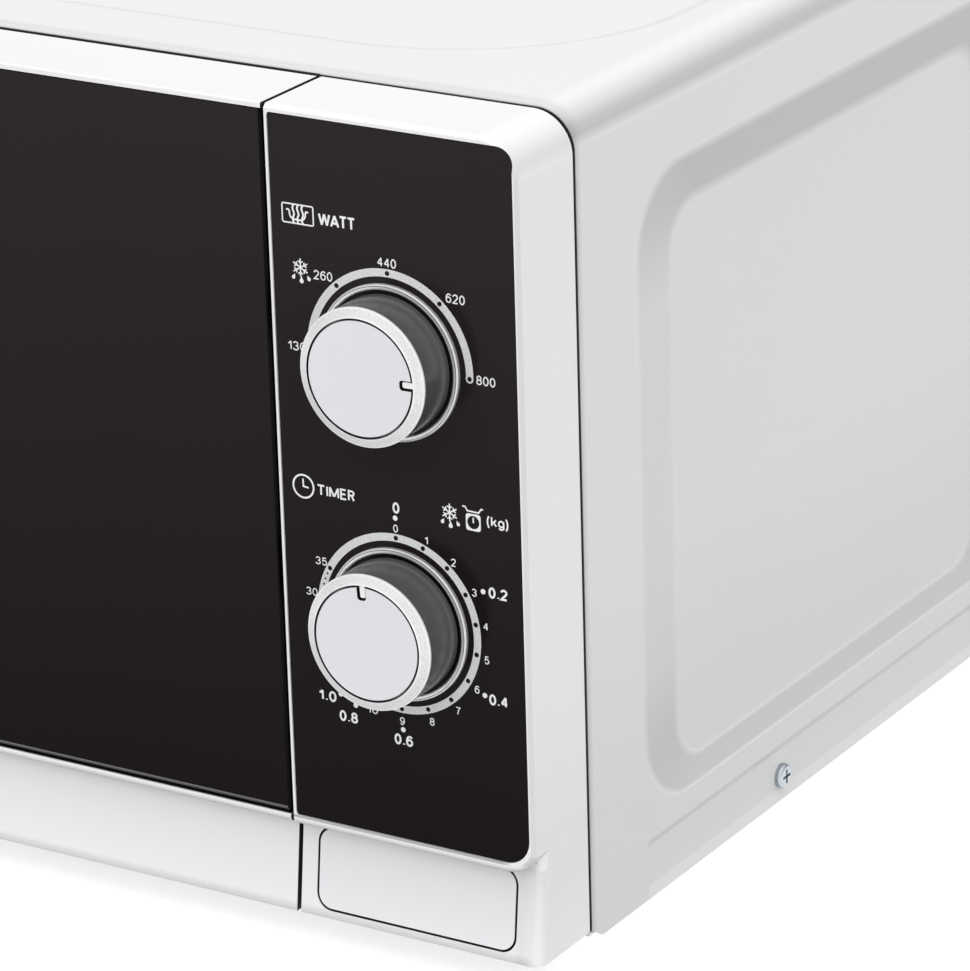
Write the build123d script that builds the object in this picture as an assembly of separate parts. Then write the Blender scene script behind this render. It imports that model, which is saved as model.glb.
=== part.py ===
from build123d import *
import os

# A counter-top microwave oven with two dials and a push-button door.
# Millimetres, +Z up, front towards -Y, origin under the middle of the cabinet.

# Cabinet and sheet metal
CABINET_WIDTH = 440.0
COVER_DEPTH = 308.0
COVER_SHEET = 0.8
COVER_CORNER = 12.0
COVER_DROP = 3.8
COVER_RISE = 1.0
COVER_FRONT_LIP = 3.5
COVER_EDGE = 2.0
COVER_CUT_LENGTH = 6.0
COVER_CUT_HEIGHT = 3.8
COVER_REAR_LIP = 10.0
SHEET = 1.0
FRAME_INSET = 6.0
BASE_LIFT = 1.0
BASE_FLANGE = 15.0
FOOT_STANDOUT = 8.0
FOOT_RADIUS = 9.0
FOOT_STEM_RADIUS = 3.0
FOOT_STEM_LENGTH = 4.0
FOOT_INSET = 38.0
SPACER_REACH = 3.0
SPACER_RADIUS = 10.0

# Pressed panels of the cover
DISH_DEPTH = 4.0
DISH_END_MARGIN = 31.0
DISH_TOP_MARGIN = 29.0
DISH_BOTTOM_MARGIN = 25.9
DISH_CORNER = 26.0
DISH_END_SLOPE = 28.6
DISH_TOP_SLOPE = 17.2
DISH_BOTTOM_SLOPE = 6.8
DISH_FLOOR_CORNER = 14.0
STRIP_DEPTH = 1.0
STRIP_SLOPE = 2.5
STRIP_HEIGHT = 18.6
STRIP_RETURN = 3.5
STRIP_START = 33.0
TOP_DISH_DEPTH = 0.8
TOP_DISH_SLOPE = 4.0
TOP_DISH_SIDE_MARGIN = 20.0
TOP_DISH_END_MARGIN = 28.0
TOP_DISH_CORNER = 70.0

# Door and control fascia
FASCIA_HEIGHT = 245.0
FASCIA_DEPTH = 29.4
FASCIA_WIDTH = 81.0
FASCIA_WALL = 2.4
FRONT_WALL = 3.2
FRONT_EDGE = 1.1
DOOR_GAP = 1.4
DOOR_SETBACK = 0.6
DOOR_REAR_GAP = 0.2
SEAL_GAP = 0.3
LEDGE_HEIGHT = 28.6
LEDGE_CORNER = 9.6
LEDGE_EDGE = 1.9
LOWER_TOP_DEPTH = 5.0
LOWER_BOTTOM_DEPTH = 1.6
LOWER_EDGE = 3.0
OVERLAY_SINK = 0.4
OVERLAY_THICK = 0.8
OVERLAY_RIM = 0.9
OVERLAY_BOTTOM_RIM = 3.3
OVERLAY_TOP_MARGIN = 2.2
OVERLAY_SIDE_MARGIN = 1.6
OVERLAY_TOP_CORNER = 6.0
OVERLAY_BOTTOM_CORNER = 8.0
OVERLAY_LEFT_CORNER = 1.0
FIT_GAP = 0.1

# Knobs, bezels and shafts
KNOB_SIDE_OFFSET = 42.8
POWER_KNOB_HEIGHT = 175.7
TIMER_KNOB_HEIGHT = 98.0
POWER_STANDOFF = 13.7
TIMER_STANDOFF = 15.2
POWER_POINTER = 88.5
TIMER_POINTER = -4.0
KNOB_RADIUS = 20.2
KNOB_GAP = 1.2
KNOB_WALL = 2.0
TRIM_WIDTH = 2.85
TRIM_RISE = 1.4
TRIM_EDGE = 0.5
CAP_GROOVE = 0.62
CAP_EDGE = 0.2
POINTER_WIDTH = 1.7
POINTER_LENGTH = 3.2
POINTER_CORNER = 0.4
HUB_RADIUS = 6.0
SHAFT_RADIUS = 3.0
BEZEL_GAP = 0.88
BEZEL_WALL = 1.75
BEZEL_HEIGHT = 1.3
BUSH_RADIUS = 5.0
PRESS_CLEARANCE = 0.02
RUN_CLEARANCE = 0.06

# Release button and lever
BUTTON_LEFT_MARGIN = 6.0
BUTTON_RIGHT_MARGIN = 8.9
BUTTON_BOTTOM_MARGIN = 3.1
BUTTON_HEIGHT = 24.1
BUTTON_CORNER = 4.5
BUTTON_CLEARANCE = 0.75
BUTTON_DEPTH = 11.0
BUTTON_WALL = 2.0
PUSHER_WIDTH = 10.0
PUSHER_HEIGHT = 6.0
PUSHER_RADIUS = 2.5
PUSHER_ROUNDING = 1.5
SPRING_RADIUS = 4.5
SPRING_WIRE = 0.8
LEVER_PIVOT_RADIUS = 2.0
LEVER_HUB_RADIUS = 4.0
LEVER_ARM = 4.0
LEVER_HEIGHT = 22.0
MOVE_GAP = 0.3

# Cavity
CAVITY_SIDE_MARGIN = 18.0
COMPARTMENT_OVERLAP = 27.0
FLOOR_SPACE = 23.0
CEILING_SPACE = 17.2
BACK_SPACE = 8.0
CHOKE_OVERLAP = 4.0
VENT_RADIUS = 2.0
VENT_PITCH = 7.0

# Door construction and hinges
PIVOT_SIDE = 8.0
PIVOT_REAR = 9.0
PIN_RADIUS = 2.0
HINGE_THICK = 2.5
HINGE_HALF_WIDTH = 5.0
HINGE_PLATE = 1.5
HINGE_PLATE_HEIGHT = 26.0
HINGE_DROP = 12.0
HINGE_SLOT = 4.5
BOSS_HEIGHT = 7.0
PIVOT_SWEEP = 12.5
PIVOT_BOSS_RADIUS = 5.5
PANEL_THICK = 3.7
PANEL_TOP_MARGIN = 1.7
PANEL_BOTTOM = 32.0
PANEL_SIDE_MARGIN = 1.3
PANEL_CORNER = 10.7
PANEL_EDGE = 0.5
PANEL_LOWER_EDGE = 1.1
SHADOW_GROOVE = 0.95
SHADOW_EDGE = 0.3
SHADOW_DEPTH = 9.0
WINDOW_MARGIN = 34.0
CHOKE_PLATE_DEPTH = 8.0
CHOKE_WALL = 5.0
CHOKE_COVER_THICK = 2.0
FILM_THICK = 0.4

# Door latch and latch board
LATCH_INSET = 16.0
LATCH_WIDTH = 6.0
LATCH_BAR_DEPTH = 9.0
LATCH_BAR_HEIGHT = 120.0
LATCH_BAR_BOTTOM = 70.0
HOOK_HEIGHT = 12.0
HOOK_REACH = 14.0
HOOK_NOSE = 3.0
HOOK_NOSE_LENGTH = 6.0
HOOK_OFFSET = 8.0
LATCH_TRAVEL = 4.0
SLOT_CLEARANCE = 1.5
LATCH_SPRING_LENGTH = 14.0
BOARD_DEPTH = 35.0
BOARD_THICK = 2.0
SWITCH_SIZE = (14.0, 14.0, 22.0)

# Turntable
TRAY_MARGIN = 22.0
TRAY_THICK = 4.5
TRAY_RIM = 12.0
TRAY_FLARE = 10.0
ROLLER_RADIUS = 7.0
ROLLER_WIDTH = 8.0
ROLLER_TRACK = 88.0
RING_WIDTH = 8.0
RING_THICK = 4.0
AXLE_RADIUS = 2.0
COUPLER_RADIUS = 10.0
COUPLER_ARM = 20.0
COUPLER_ARM_WIDTH = 7.0
COUPLER_HEIGHT = 11.0
COUPLER_STEM_RADIUS = 3.0
TURNTABLE_MOTOR_RADIUS = 25.0
TURNTABLE_MOTOR_HEIGHT = 19.0

# Electrical pieces
MAGNETRON_SIZE = (74.0, 88.0, 80.0)
MAGNETRON_DEPTH = 115.0
MAGNETRON_TOP_MARGIN = 30.0
MAGNETRON_FINS = 9
ANTENNA_RADIUS = 8.0
WAVEGUIDE_SIZE = (18.0, 110.0, 70.0)
MICA_SIZE = (70.0, 50.0)
TRANSFORMER_SIZE = (80.0, 84.0, 66.0)
TRANSFORMER_GAP = 15.2
WINDING_SIZE = (44.0, 104.0, 40.0)
CAPACITOR_SIZE = (84.0, 34.0, 50.0)
CAPACITOR_CORNER = 12.0
CAPACITOR_BACK_SPACE = 48.0
DIODE_RADIUS = 3.5
DIODE_LENGTH = 24.0
FAN_RADIUS = 46.0
FAN_HUB_RADIUS = 11.0
FAN_BLADES = 5
FAN_WIDTH = 14.0
FAN_TOP_MARGIN = 76.0
FAN_CLEARANCE = 3.0
FAN_SHAFT_RADIUS = 2.0
FAN_MOTOR_SIZE = (52.0, 22.0, 48.0)
FAN_PLATE = 2.0
LAMP_RADIUS = 11.0
BOARD_SIZE = (76.0, 1.6, 44.0)
GLAND_RADIUS = 9.0
GLAND_BORE = 4.0
TIMER_SIZE = (58.0, 42.0, 134.0)
TIMER_POST = 11.0
CUTOUT_RADIUS = 8.0
CUTOUT_HEIGHT = 9.0

# Screws
SCREW_RADIUS = 1.9
SCREW_CLEARANCE = 0.2
SCREW_LENGTH = 7.0
SCREW_HEAD_RADIUS = 3.8
SCREW_HEAD_HEIGHT = 2.2
SCREW_CROSS = 0.9
SIDE_SCREW_HEIGHT = 7.5
SIDE_SCREW_STARTS = (115.3, 262.0)
REAR_SCREW_COLUMNS = (-150.0, 0.0, 150.0)

# Places worked out from the sizes above
HALF_WIDTH = CABINET_WIDTH / 2
KNOB_REACH = max(POWER_STANDOFF, TIMER_STANDOFF) + TRIM_RISE
TOTAL_DEPTH = KNOB_REACH + FASCIA_DEPTH + SEAL_GAP + SHEET + COVER_DEPTH + SPACER_REACH
PANEL_Y = KNOB_REACH - TOTAL_DEPTH / 2
FASCIA_BACK = PANEL_Y + FASCIA_DEPTH
FRAME_FRONT = FASCIA_BACK + SEAL_GAP
COVER_FRONT = FRAME_FRONT + SHEET
COVER_BACK = COVER_FRONT + COVER_DEPTH
REAR_FACE = COVER_BACK - COVER_SHEET
REAR_INNER = REAR_FACE - SHEET

COVER_BOTTOM = FOOT_STANDOUT
FASCIA_BOTTOM = COVER_BOTTOM + COVER_DROP
FASCIA_TOP = FASCIA_BOTTOM + FASCIA_HEIGHT
COVER_TOP = FASCIA_TOP + COVER_RISE
BASE_BOTTOM = COVER_BOTTOM + BASE_LIFT
BASE_TOP = BASE_BOTTOM + SHEET
STRIP_TOP = COVER_BOTTOM + STRIP_HEIGHT
STRIP_INNER = HALF_WIDTH - STRIP_DEPTH - COVER_SHEET
LEDGE_Z = FASCIA_BOTTOM + LEDGE_HEIGHT

FASCIA_LEFT = HALF_WIDTH - FASCIA_WIDTH
DOOR_RIGHT = FASCIA_LEFT - DOOR_GAP
DOOR_FRONT = PANEL_Y + DOOR_SETBACK
DOOR_BACK = FASCIA_BACK - DOOR_REAR_GAP
PIVOT_X = -HALF_WIDTH + PIVOT_SIDE
PIVOT_Y = DOOR_BACK - PIVOT_REAR
HINGE_LEVELS = (FASCIA_BOTTOM + HINGE_DROP, FASCIA_TOP - HINGE_DROP)

FRAME_BOTTOM = BASE_TOP
FRAME_TOP = COVER_TOP - FRAME_INSET
FRAME_SIDE = HALF_WIDTH - FRAME_INSET
CAVITY_LEFT = -HALF_WIDTH + CAVITY_SIDE_MARGIN
CAVITY_RIGHT = HALF_WIDTH - FASCIA_WIDTH - COMPARTMENT_OVERLAP
CAVITY_FLOOR = BASE_TOP + FLOOR_SPACE
CAVITY_TOP = COVER_TOP - CEILING_SPACE
CAVITY_FRONT = COVER_FRONT
CAVITY_BACK = REAR_INNER - BACK_SPACE
TRAY_X = (CAVITY_LEFT + CAVITY_RIGHT) / 2
TRAY_Y = (CAVITY_FRONT + CAVITY_BACK) / 2
TRAY_RADIUS = min(CAVITY_RIGHT - CAVITY_LEFT, CAVITY_BACK - CAVITY_FRONT) / 2 - TRAY_MARGIN
ROLLER_Z = CAVITY_FLOOR + MOVE_GAP + ROLLER_RADIUS
TRAY_BOTTOM = ROLLER_Z + ROLLER_RADIUS + MOVE_GAP

KNOB_X = HALF_WIDTH - KNOB_SIDE_OFFSET
CAP_RADIUS = KNOB_RADIUS - TRIM_WIDTH - CAP_GROOVE
BEZEL_RADIUS = KNOB_RADIUS + BEZEL_GAP + BEZEL_WALL
POWER_Z = FASCIA_BOTTOM + POWER_KNOB_HEIGHT
TIMER_Z = FASCIA_BOTTOM + TIMER_KNOB_HEIGHT
OVERLAY_FACE = PANEL_Y + OVERLAY_SINK
OVERLAY_BACK = OVERLAY_FACE + OVERLAY_THICK
TIMER_FRONT = PANEL_Y + FRONT_WALL + TIMER_POST
TIMER_BACK = TIMER_FRONT + TIMER_SIZE[1]

BUTTON_LEFT = FASCIA_LEFT + BUTTON_LEFT_MARGIN
BUTTON_RIGHT = HALF_WIDTH - BUTTON_RIGHT_MARGIN
BUTTON_BOTTOM = FASCIA_BOTTOM + BUTTON_BOTTOM_MARGIN
BUTTON_TOP = BUTTON_BOTTOM + BUTTON_HEIGHT
BUTTON_MID_Z = (BUTTON_BOTTOM + BUTTON_TOP) / 2
PUSHER_X = BUTTON_LEFT + PUSHER_WIDTH
BUTTON_SPRING_X = BUTTON_RIGHT - PUSHER_WIDTH

LATCH_X = DOOR_RIGHT - LATCH_INSET
LATCH_FRONT = DOOR_FRONT + PANEL_THICK + FASCIA_WALL + MOVE_GAP * 2
LATCH_BACK = LATCH_FRONT + LATCH_BAR_DEPTH
HOOK_BOTTOMS = (
    LATCH_BAR_BOTTOM + HOOK_OFFSET,
    LATCH_BAR_BOTTOM + LATCH_BAR_HEIGHT - HOOK_OFFSET - HOOK_HEIGHT,
)
HOOK_TIP = COVER_FRONT + HOOK_REACH
BOARD_X = LATCH_X - LATCH_WIDTH / 2 - BOARD_THICK - 2 * SLOT_CLEARANCE
LEVER_Y = COVER_FRONT + BOARD_THICK + LEVER_HUB_RADIUS + MOVE_GAP
LEVER_Z = BUTTON_MID_Z + LEVER_HEIGHT
LEVER_PAD_FRONT = LEVER_Y - LEVER_ARM / 2
BOARD_BOTTOM = LEVER_Z - 2 * LEVER_HUB_RADIUS
BOARD_TOP = HOOK_BOTTOMS[1] + HOOK_HEIGHT + 2 * LATCH_TRAVEL

COMPARTMENT_X = CAVITY_RIGHT + SHEET
COMPARTMENT_MID = (COMPARTMENT_X + HALF_WIDTH - COVER_SHEET - DISH_DEPTH) / 2
MAGNETRON_Y = COVER_FRONT + MAGNETRON_DEPTH
MAGNETRON_Z = COVER_TOP - MAGNETRON_TOP_MARGIN - MAGNETRON_SIZE[2]
MAGNETRON_X = COMPARTMENT_X + WAVEGUIDE_SIZE[0]
WAVEGUIDE_Y = MAGNETRON_Y - (WAVEGUIDE_SIZE[1] - MAGNETRON_SIZE[1]) / 2
WAVEGUIDE_Z = MAGNETRON_Z + (MAGNETRON_SIZE[2] - WAVEGUIDE_SIZE[2]) / 2
MICA_Y = WAVEGUIDE_Y + WAVEGUIDE_SIZE[1] / 2
MICA_Z = WAVEGUIDE_Z + WAVEGUIDE_SIZE[2] / 2
CAPACITOR_Y = REAR_INNER - CAPACITOR_BACK_SPACE - CAPACITOR_SIZE[1]
TRANSFORMER_Y = CAPACITOR_Y - TRANSFORMER_GAP - TRANSFORMER_SIZE[1]
FAN_Z = COVER_TOP - FAN_TOP_MARGIN
FAN_BACK = REAR_INNER - FAN_CLEARANCE * 3
FAN_FRONT = FAN_BACK - FAN_WIDTH
FAN_MOTOR_BACK = FAN_FRONT - FAN_CLEARANCE * 2
FAN_MOTOR_FRONT = FAN_MOTOR_BACK - FAN_MOTOR_SIZE[1]
FAN_DUCT_RADIUS = FAN_RADIUS + FAN_CLEARANCE
LAMP_Y = COVER_FRONT + COVER_DEPTH / 4
LAMP_Z = CAVITY_TOP - LAMP_RADIUS * 2
GLAND_X = HALF_WIDTH - COVER_REAR_LIP - 2 * GLAND_RADIUS
GLAND_Z = BASE_TOP + CAPACITOR_SIZE[2] + 2 * GLAND_RADIUS
BOARD_TOP_EDGE = FAN_Z - FAN_DUCT_RADIUS - 2 * FAN_PLATE


def block(x0, x1, y0, y1, z0, z1):
    """Box between two corners."""
    return Pos((x0 + x1) / 2, (y0 + y1) / 2, (z0 + z1) / 2) * Box(x1 - x0, y1 - y0, z1 - z0)


def rod_x(y, z, x0, x1, radius):
    return Pos((x0 + x1) / 2, y, z) * Rot(0, 90, 0) * Cylinder(radius, x1 - x0)


def rod_y(x, z, y0, y1, radius):
    return Pos(x, (y0 + y1) / 2, z) * Rot(90, 0, 0) * Cylinder(radius, y1 - y0)


def rod_z(x, y, z0, z1, radius):
    return Pos(x, y, (z0 + z1) / 2) * Cylinder(radius, z1 - z0)


def front_prism(sketch, y0, y1):
    """Solid from a sketch drawn in x and z, between two depths."""
    plane = Plane(origin=(0, y1, 0), x_dir=(1, 0, 0), z_dir=(0, -1, 0))
    return extrude(plane * sketch, amount=y1 - y0)


def side_prism(sketch, x0, x1):
    """Solid from a sketch drawn in y and z, between two widths."""
    plane = Plane(origin=(x0, 0, 0), x_dir=(0, 1, 0), z_dir=(1, 0, 0))
    return extrude(plane * sketch, amount=x1 - x0)


def rect(a0, a1, b0, b1):
    """Flat rectangle between two corners."""
    return Pos((a0 + a1) / 2, (b0 + b1) / 2) * Rectangle(a1 - a0, b1 - b0)


def round_corner(sketch, a, b, radius):
    """Round the vertex of a flat sketch that lies nearest to a point."""
    corner = min(sketch.vertices(), key=lambda v: (v.X - a) ** 2 + (v.Y - b) ** 2)
    return fillet(corner, radius)


def edges_near(solid, test):
    return solid.edges().filter_by(lambda edge: test(edge.center()))


def hole_grid(x, z, columns, rows):
    """Flat pattern of round vent holes."""
    holes = Sketch()
    for spot in GridLocations(VENT_PITCH, VENT_PITCH, columns, rows):
        holes += Pos(x, z) * spot * Circle(VENT_RADIUS)
    return holes


# Outer cover


def cover_section(inset, drop):
    """Cross-section of the cover's outside, taken in by an inset."""
    side = HALF_WIDTH - inset
    top = COVER_TOP - inset
    section = rect(-side, side, COVER_BOTTOM - drop, top)
    for x in (-side, side):
        section = round_corner(section, x, top, COVER_CORNER - inset)
    return section


def side_dish(inset):
    """Pressed-in panel of the right side, with sloping walls."""
    y0 = COVER_FRONT + DISH_END_MARGIN
    y1 = COVER_BACK - DISH_END_MARGIN
    z0 = COVER_BOTTOM + DISH_BOTTOM_MARGIN
    z1 = COVER_TOP - DISH_TOP_MARGIN
    mouth = Pos((y0 + y1) / 2, (z0 + z1) / 2) * RectangleRounded(y1 - y0, z1 - z0, DISH_CORNER)
    floor_y = y1 - y0 - 2 * DISH_END_SLOPE
    floor_z0 = z0 + DISH_BOTTOM_SLOPE
    floor_z1 = z1 - DISH_TOP_SLOPE
    floor = Pos((y0 + y1) / 2, (floor_z0 + floor_z1) / 2) * RectangleRounded(
        floor_y, floor_z1 - floor_z0, DISH_FLOOR_CORNER
    )
    surface = HALF_WIDTH - inset
    plane = Plane(origin=(surface, 0, 0), x_dir=(0, 1, 0), z_dir=(1, 0, 0))
    return loft([plane * mouth, plane.offset(-DISH_DEPTH) * floor], ruled=True)


def side_strip(inset):
    """Pressed-in strip low on the right side, where the screws sit, level with the side again at its bottom."""
    surface = HALF_WIDTH - inset
    floor = surface - STRIP_DEPTH
    profile = Polygon(
        (surface, STRIP_TOP),
        (floor, STRIP_TOP - STRIP_SLOPE),
        (floor, COVER_BOTTOM + STRIP_RETURN),
        (surface, COVER_BOTTOM),
        align=None,
    )
    return front_prism(profile, COVER_FRONT + STRIP_START, COVER_BACK + STRIP_START)


def top_dish(inset):
    """Shallow pressed panel of the top."""
    width = CABINET_WIDTH - 2 * TOP_DISH_SIDE_MARGIN
    length = COVER_DEPTH - 2 * TOP_DISH_END_MARGIN
    middle = (COVER_FRONT + COVER_BACK) / 2
    slope = 2 * TOP_DISH_SLOPE
    mouth = RectangleRounded(width, length, TOP_DISH_CORNER)
    floor = RectangleRounded(width - slope, length - slope, TOP_DISH_CORNER - TOP_DISH_SLOPE)
    plane = Plane(origin=(0, middle, COVER_TOP - inset))
    return loft([plane * mouth, plane.offset(-TOP_DISH_DEPTH) * floor], ruled=True)


def press_cover(solid, inset):
    """Press the side and top panels into a cover-shaped solid."""
    for pressed in (side_dish(inset), side_strip(inset)):
        solid -= pressed
        solid -= mirror(pressed, about=Plane.YZ)
    return solid - top_dish(inset)


def cover_corner_cut():
    """Slanting cut across the cover's lower front corners, in y and z."""
    ahead = COVER_FRONT - COVER_CUT_LENGTH
    below = COVER_BOTTOM - COVER_CUT_HEIGHT
    return Polygon(
        (ahead, below),
        (COVER_FRONT + 2 * COVER_CUT_LENGTH, below),
        (ahead, COVER_BOTTOM + 2 * COVER_CUT_HEIGHT),
        align=None,
    )


def side_screw_places():
    return [(COVER_FRONT + start, COVER_BOTTOM + SIDE_SCREW_HEIGHT) for start in SIDE_SCREW_STARTS]


def rear_screw_places():
    height = COVER_TOP - COVER_REAR_LIP / 2 - COVER_SHEET
    return [(x, height) for x in REAR_SCREW_COLUMNS]


def outer_cover():
    outside = front_prism(cover_section(0, 0), COVER_FRONT, COVER_BACK)
    front_edges = edges_near(outside, lambda c: c.Y < COVER_FRONT + 0.1 and c.Z > COVER_BOTTOM + 1)
    outside = fillet(front_edges, COVER_EDGE)
    outside = press_cover(outside, 0)
    drop = COVER_CORNER
    inner_section = cover_section(COVER_SHEET, drop)
    inner_front = COVER_FRONT + COVER_SHEET
    inside = front_prism(inner_section, inner_front, COVER_BACK - COVER_SHEET)
    front_edges = edges_near(inside, lambda c: c.Y < inner_front + 0.1 and c.Z > COVER_BOTTOM + 1)
    inside = fillet(front_edges, COVER_EDGE - COVER_SHEET)
    inside = press_cover(inside, COVER_SHEET)
    cover = outside - inside
    cover -= front_prism(cover_section(COVER_FRONT_LIP, drop), COVER_FRONT - 1, COVER_FRONT + SHEET)
    cover -= front_prism(cover_section(COVER_REAR_LIP, drop), COVER_BACK - SHEET, COVER_BACK + 1)
    cover -= side_prism(cover_corner_cut(), -HALF_WIDTH - 1, HALF_WIDTH + 1)
    radius = SCREW_RADIUS + SCREW_CLEARANCE
    for y, z in side_screw_places():
        cover -= rod_x(y, z, -HALF_WIDTH - 1, HALF_WIDTH + 1, radius)
    for x, z in rear_screw_places():
        cover -= rod_y(x, z, REAR_INNER, COVER_BACK + 1, radius)
    return cover


# Chassis sheets


def base_plate():
    flange_top = BASE_BOTTOM + BASE_FLANGE
    plate = block(-STRIP_INNER, STRIP_INNER, COVER_FRONT, REAR_INNER, BASE_BOTTOM, BASE_TOP)
    for side in (-1, 1):
        x0, x1 = sorted((side * STRIP_INNER, side * (STRIP_INNER - SHEET)))
        start = COVER_FRONT + STRIP_START + SHEET
        plate += block(x0, x1, start, REAR_INNER, BASE_BOTTOM, flange_top)
        lip = side * (HALF_WIDTH - COVER_FRONT_LIP - MOVE_GAP)
        x0, x1 = sorted((lip, side * HALF_WIDTH))
        plate -= block(x0, x1, COVER_FRONT - 1, COVER_FRONT + COVER_SHEET + MOVE_GAP, BASE_BOTTOM, BASE_TOP)
    for y, z in side_screw_places():
        plate -= rod_x(y, z, -HALF_WIDTH, HALF_WIDTH, SCREW_RADIUS + PRESS_CLEARANCE)
    for x, y in foot_places():
        plate -= rod_z(x, y, BASE_BOTTOM - 1, BASE_TOP + 1, FOOT_STEM_RADIUS + PRESS_CLEARANCE)
    vents = hole_grid(TRAY_X, COVER_FRONT + COVER_DEPTH / 6, 16, 4)
    return plate - Pos(0, 0, BASE_BOTTOM - 1) * extrude(vents, amount=SHEET + 2)


def foot_places():
    x = HALF_WIDTH - FOOT_INSET
    return [(sx * x, y) for sx in (-1, 1) for y in (COVER_FRONT + FOOT_INSET, COVER_BACK - FOOT_INSET)]


def feet():
    group = []
    for x, y in foot_places():
        pad = fillet(Cylinder(FOOT_RADIUS, BASE_BOTTOM).edges().group_by(Axis.Z)[0], 1.5)
        foot = Pos(x, y, BASE_BOTTOM / 2) * pad
        foot += rod_z(x, y, BASE_BOTTOM, BASE_BOTTOM + FOOT_STEM_LENGTH, FOOT_STEM_RADIUS)
        group.append(foot)
    return group


def rear_panel():
    top = COVER_TOP - COVER_SHEET - TOP_DISH_DEPTH - MOVE_GAP
    outline = rect(-FRAME_SIDE, FRAME_SIDE, BASE_BOTTOM, top)
    for x in (-FRAME_SIDE, FRAME_SIDE):
        outline = round_corner(outline, x, top, COVER_CORNER)
    panel = front_prism(outline, REAR_INNER, REAR_FACE)
    vents = Pos(COMPARTMENT_MID, FAN_Z) * fan_vents()
    vents += hole_grid(TRAY_X, CAVITY_TOP - 4 * VENT_PITCH, 14, 4)
    panel -= front_prism(vents, REAR_INNER - 1, REAR_FACE + 1)
    panel -= rod_y(GLAND_X, GLAND_Z, REAR_INNER - 1, REAR_FACE + 1, GLAND_RADIUS - SHEET)
    for x, z in rear_screw_places():
        panel -= rod_y(x, z, REAR_INNER - 1, REAR_FACE + 1, SCREW_RADIUS + PRESS_CLEARANCE)
    reach = COVER_BACK + SPACER_REACH
    for x in (CAVITY_LEFT + 4 * SPACER_RADIUS, CAVITY_RIGHT - 4 * SPACER_RADIUS):
        cone = Cone(SPACER_RADIUS, SPACER_RADIUS * 0.7, reach - REAR_FACE)
        panel += Pos(x, (reach + REAR_FACE) / 2, CAVITY_TOP / 2) * Rot(-90, 0, 0) * cone
    return panel


def fan_vents():
    """Rings of holes in front of the fan."""
    holes = Sketch()
    ring = VENT_PITCH
    while ring < FAN_RADIUS - VENT_RADIUS:
        count = int(6 * ring / VENT_PITCH)
        for spot in PolarLocations(ring, count):
            holes += spot * Circle(VENT_RADIUS)
        ring += VENT_PITCH
    return holes


def front_frame():
    plate = rect(-FRAME_SIDE, FRAME_SIDE, FRAME_BOTTOM, FRAME_TOP)
    plate -= rect(CAVITY_LEFT, CAVITY_RIGHT, CAVITY_FLOOR, CAVITY_TOP)
    timer_half = TIMER_SIZE[0] / 2 + SEAL_GAP
    plate -= rect(KNOB_X - timer_half, KNOB_X + timer_half, timer_bottom() - 1, timer_top() + 1)
    plate -= rect(PUSHER_X - PUSHER_WIDTH / 2 - 1, PUSHER_X + PUSHER_WIDTH / 2 + 1,
                  BUTTON_MID_Z - PUSHER_HEIGHT, BUTTON_MID_Z + PUSHER_HEIGHT)
    for hook in HOOK_BOTTOMS:
        plate -= hook_slot(hook)
    for level in HINGE_LEVELS:
        plate -= rect(PIVOT_X - FIT_GAP, PIVOT_X + HINGE_HALF_WIDTH + FIT_GAP,
                      level - HINGE_THICK / 2 - FIT_GAP, level + HINGE_THICK / 2 + FIT_GAP)
    return front_prism(plate, FRAME_FRONT, COVER_FRONT)


def hook_slot(hook_bottom):
    """Opening that a latch hook passes through, with room for the swing and the lift."""
    half = LATCH_WIDTH / 2
    bottom = hook_bottom - HOOK_NOSE - SLOT_CLEARANCE
    top = hook_bottom + HOOK_HEIGHT + LATCH_TRAVEL + SLOT_CLEARANCE
    return rect(LATCH_X - half - SLOT_CLEARANCE, LATCH_X + half + 2 * SLOT_CLEARANCE, bottom, top)


def cavity_floor():
    plate = block(CAVITY_LEFT - SHEET, COMPARTMENT_X, CAVITY_FRONT, CAVITY_BACK,
                  CAVITY_FLOOR - SHEET, CAVITY_FLOOR)
    return plate - rod_z(TRAY_X, TRAY_Y, CAVITY_FLOOR - 5, CAVITY_FLOOR + 1, COUPLER_STEM_RADIUS + 1)


def cavity_ceiling():
    return block(CAVITY_LEFT - SHEET, COMPARTMENT_X, CAVITY_FRONT, CAVITY_BACK,
                 CAVITY_TOP, CAVITY_TOP + SHEET)


def cavity_left_wall():
    wall = rect(CAVITY_FRONT, CAVITY_BACK, CAVITY_FLOOR, CAVITY_TOP)
    wall -= hole_grid(CAVITY_BACK - 12 * VENT_PITCH, CAVITY_TOP - 6 * VENT_PITCH, 10, 4)
    return side_prism(wall, CAVITY_LEFT - SHEET, CAVITY_LEFT)


def cavity_right_wall():
    wall = rect(CAVITY_FRONT, CAVITY_BACK, CAVITY_FLOOR, CAVITY_TOP)
    wall -= hole_grid(LAMP_Y, LAMP_Z, 3, 3)
    wall -= Pos(MICA_Y, MICA_Z) * Rectangle(MICA_SIZE[0] - 8, MICA_SIZE[1] - 8)
    return side_prism(wall, CAVITY_RIGHT, COMPARTMENT_X)


def cavity_back_wall():
    return block(CAVITY_LEFT - SHEET, COMPARTMENT_X, CAVITY_BACK, CAVITY_BACK + SHEET,
                 CAVITY_FLOOR - SHEET, CAVITY_TOP + SHEET)


# Control fascia


def lower_wedge(x0, x1, top):
    """Space in front of the slanting lower face."""
    slope = (LOWER_TOP_DEPTH - LOWER_BOTTOM_DEPTH) / LEDGE_HEIGHT

    def face_y(z):
        return PANEL_Y + LOWER_BOTTOM_DEPTH + slope * (z - FASCIA_BOTTOM)

    low = FASCIA_BOTTOM - 1
    ahead = PANEL_Y - LEDGE_HEIGHT
    profile = Polygon((ahead, low), (face_y(low), low), (face_y(top), top), (ahead, top), align=None)
    return side_prism(profile, x0, x1)


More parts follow.
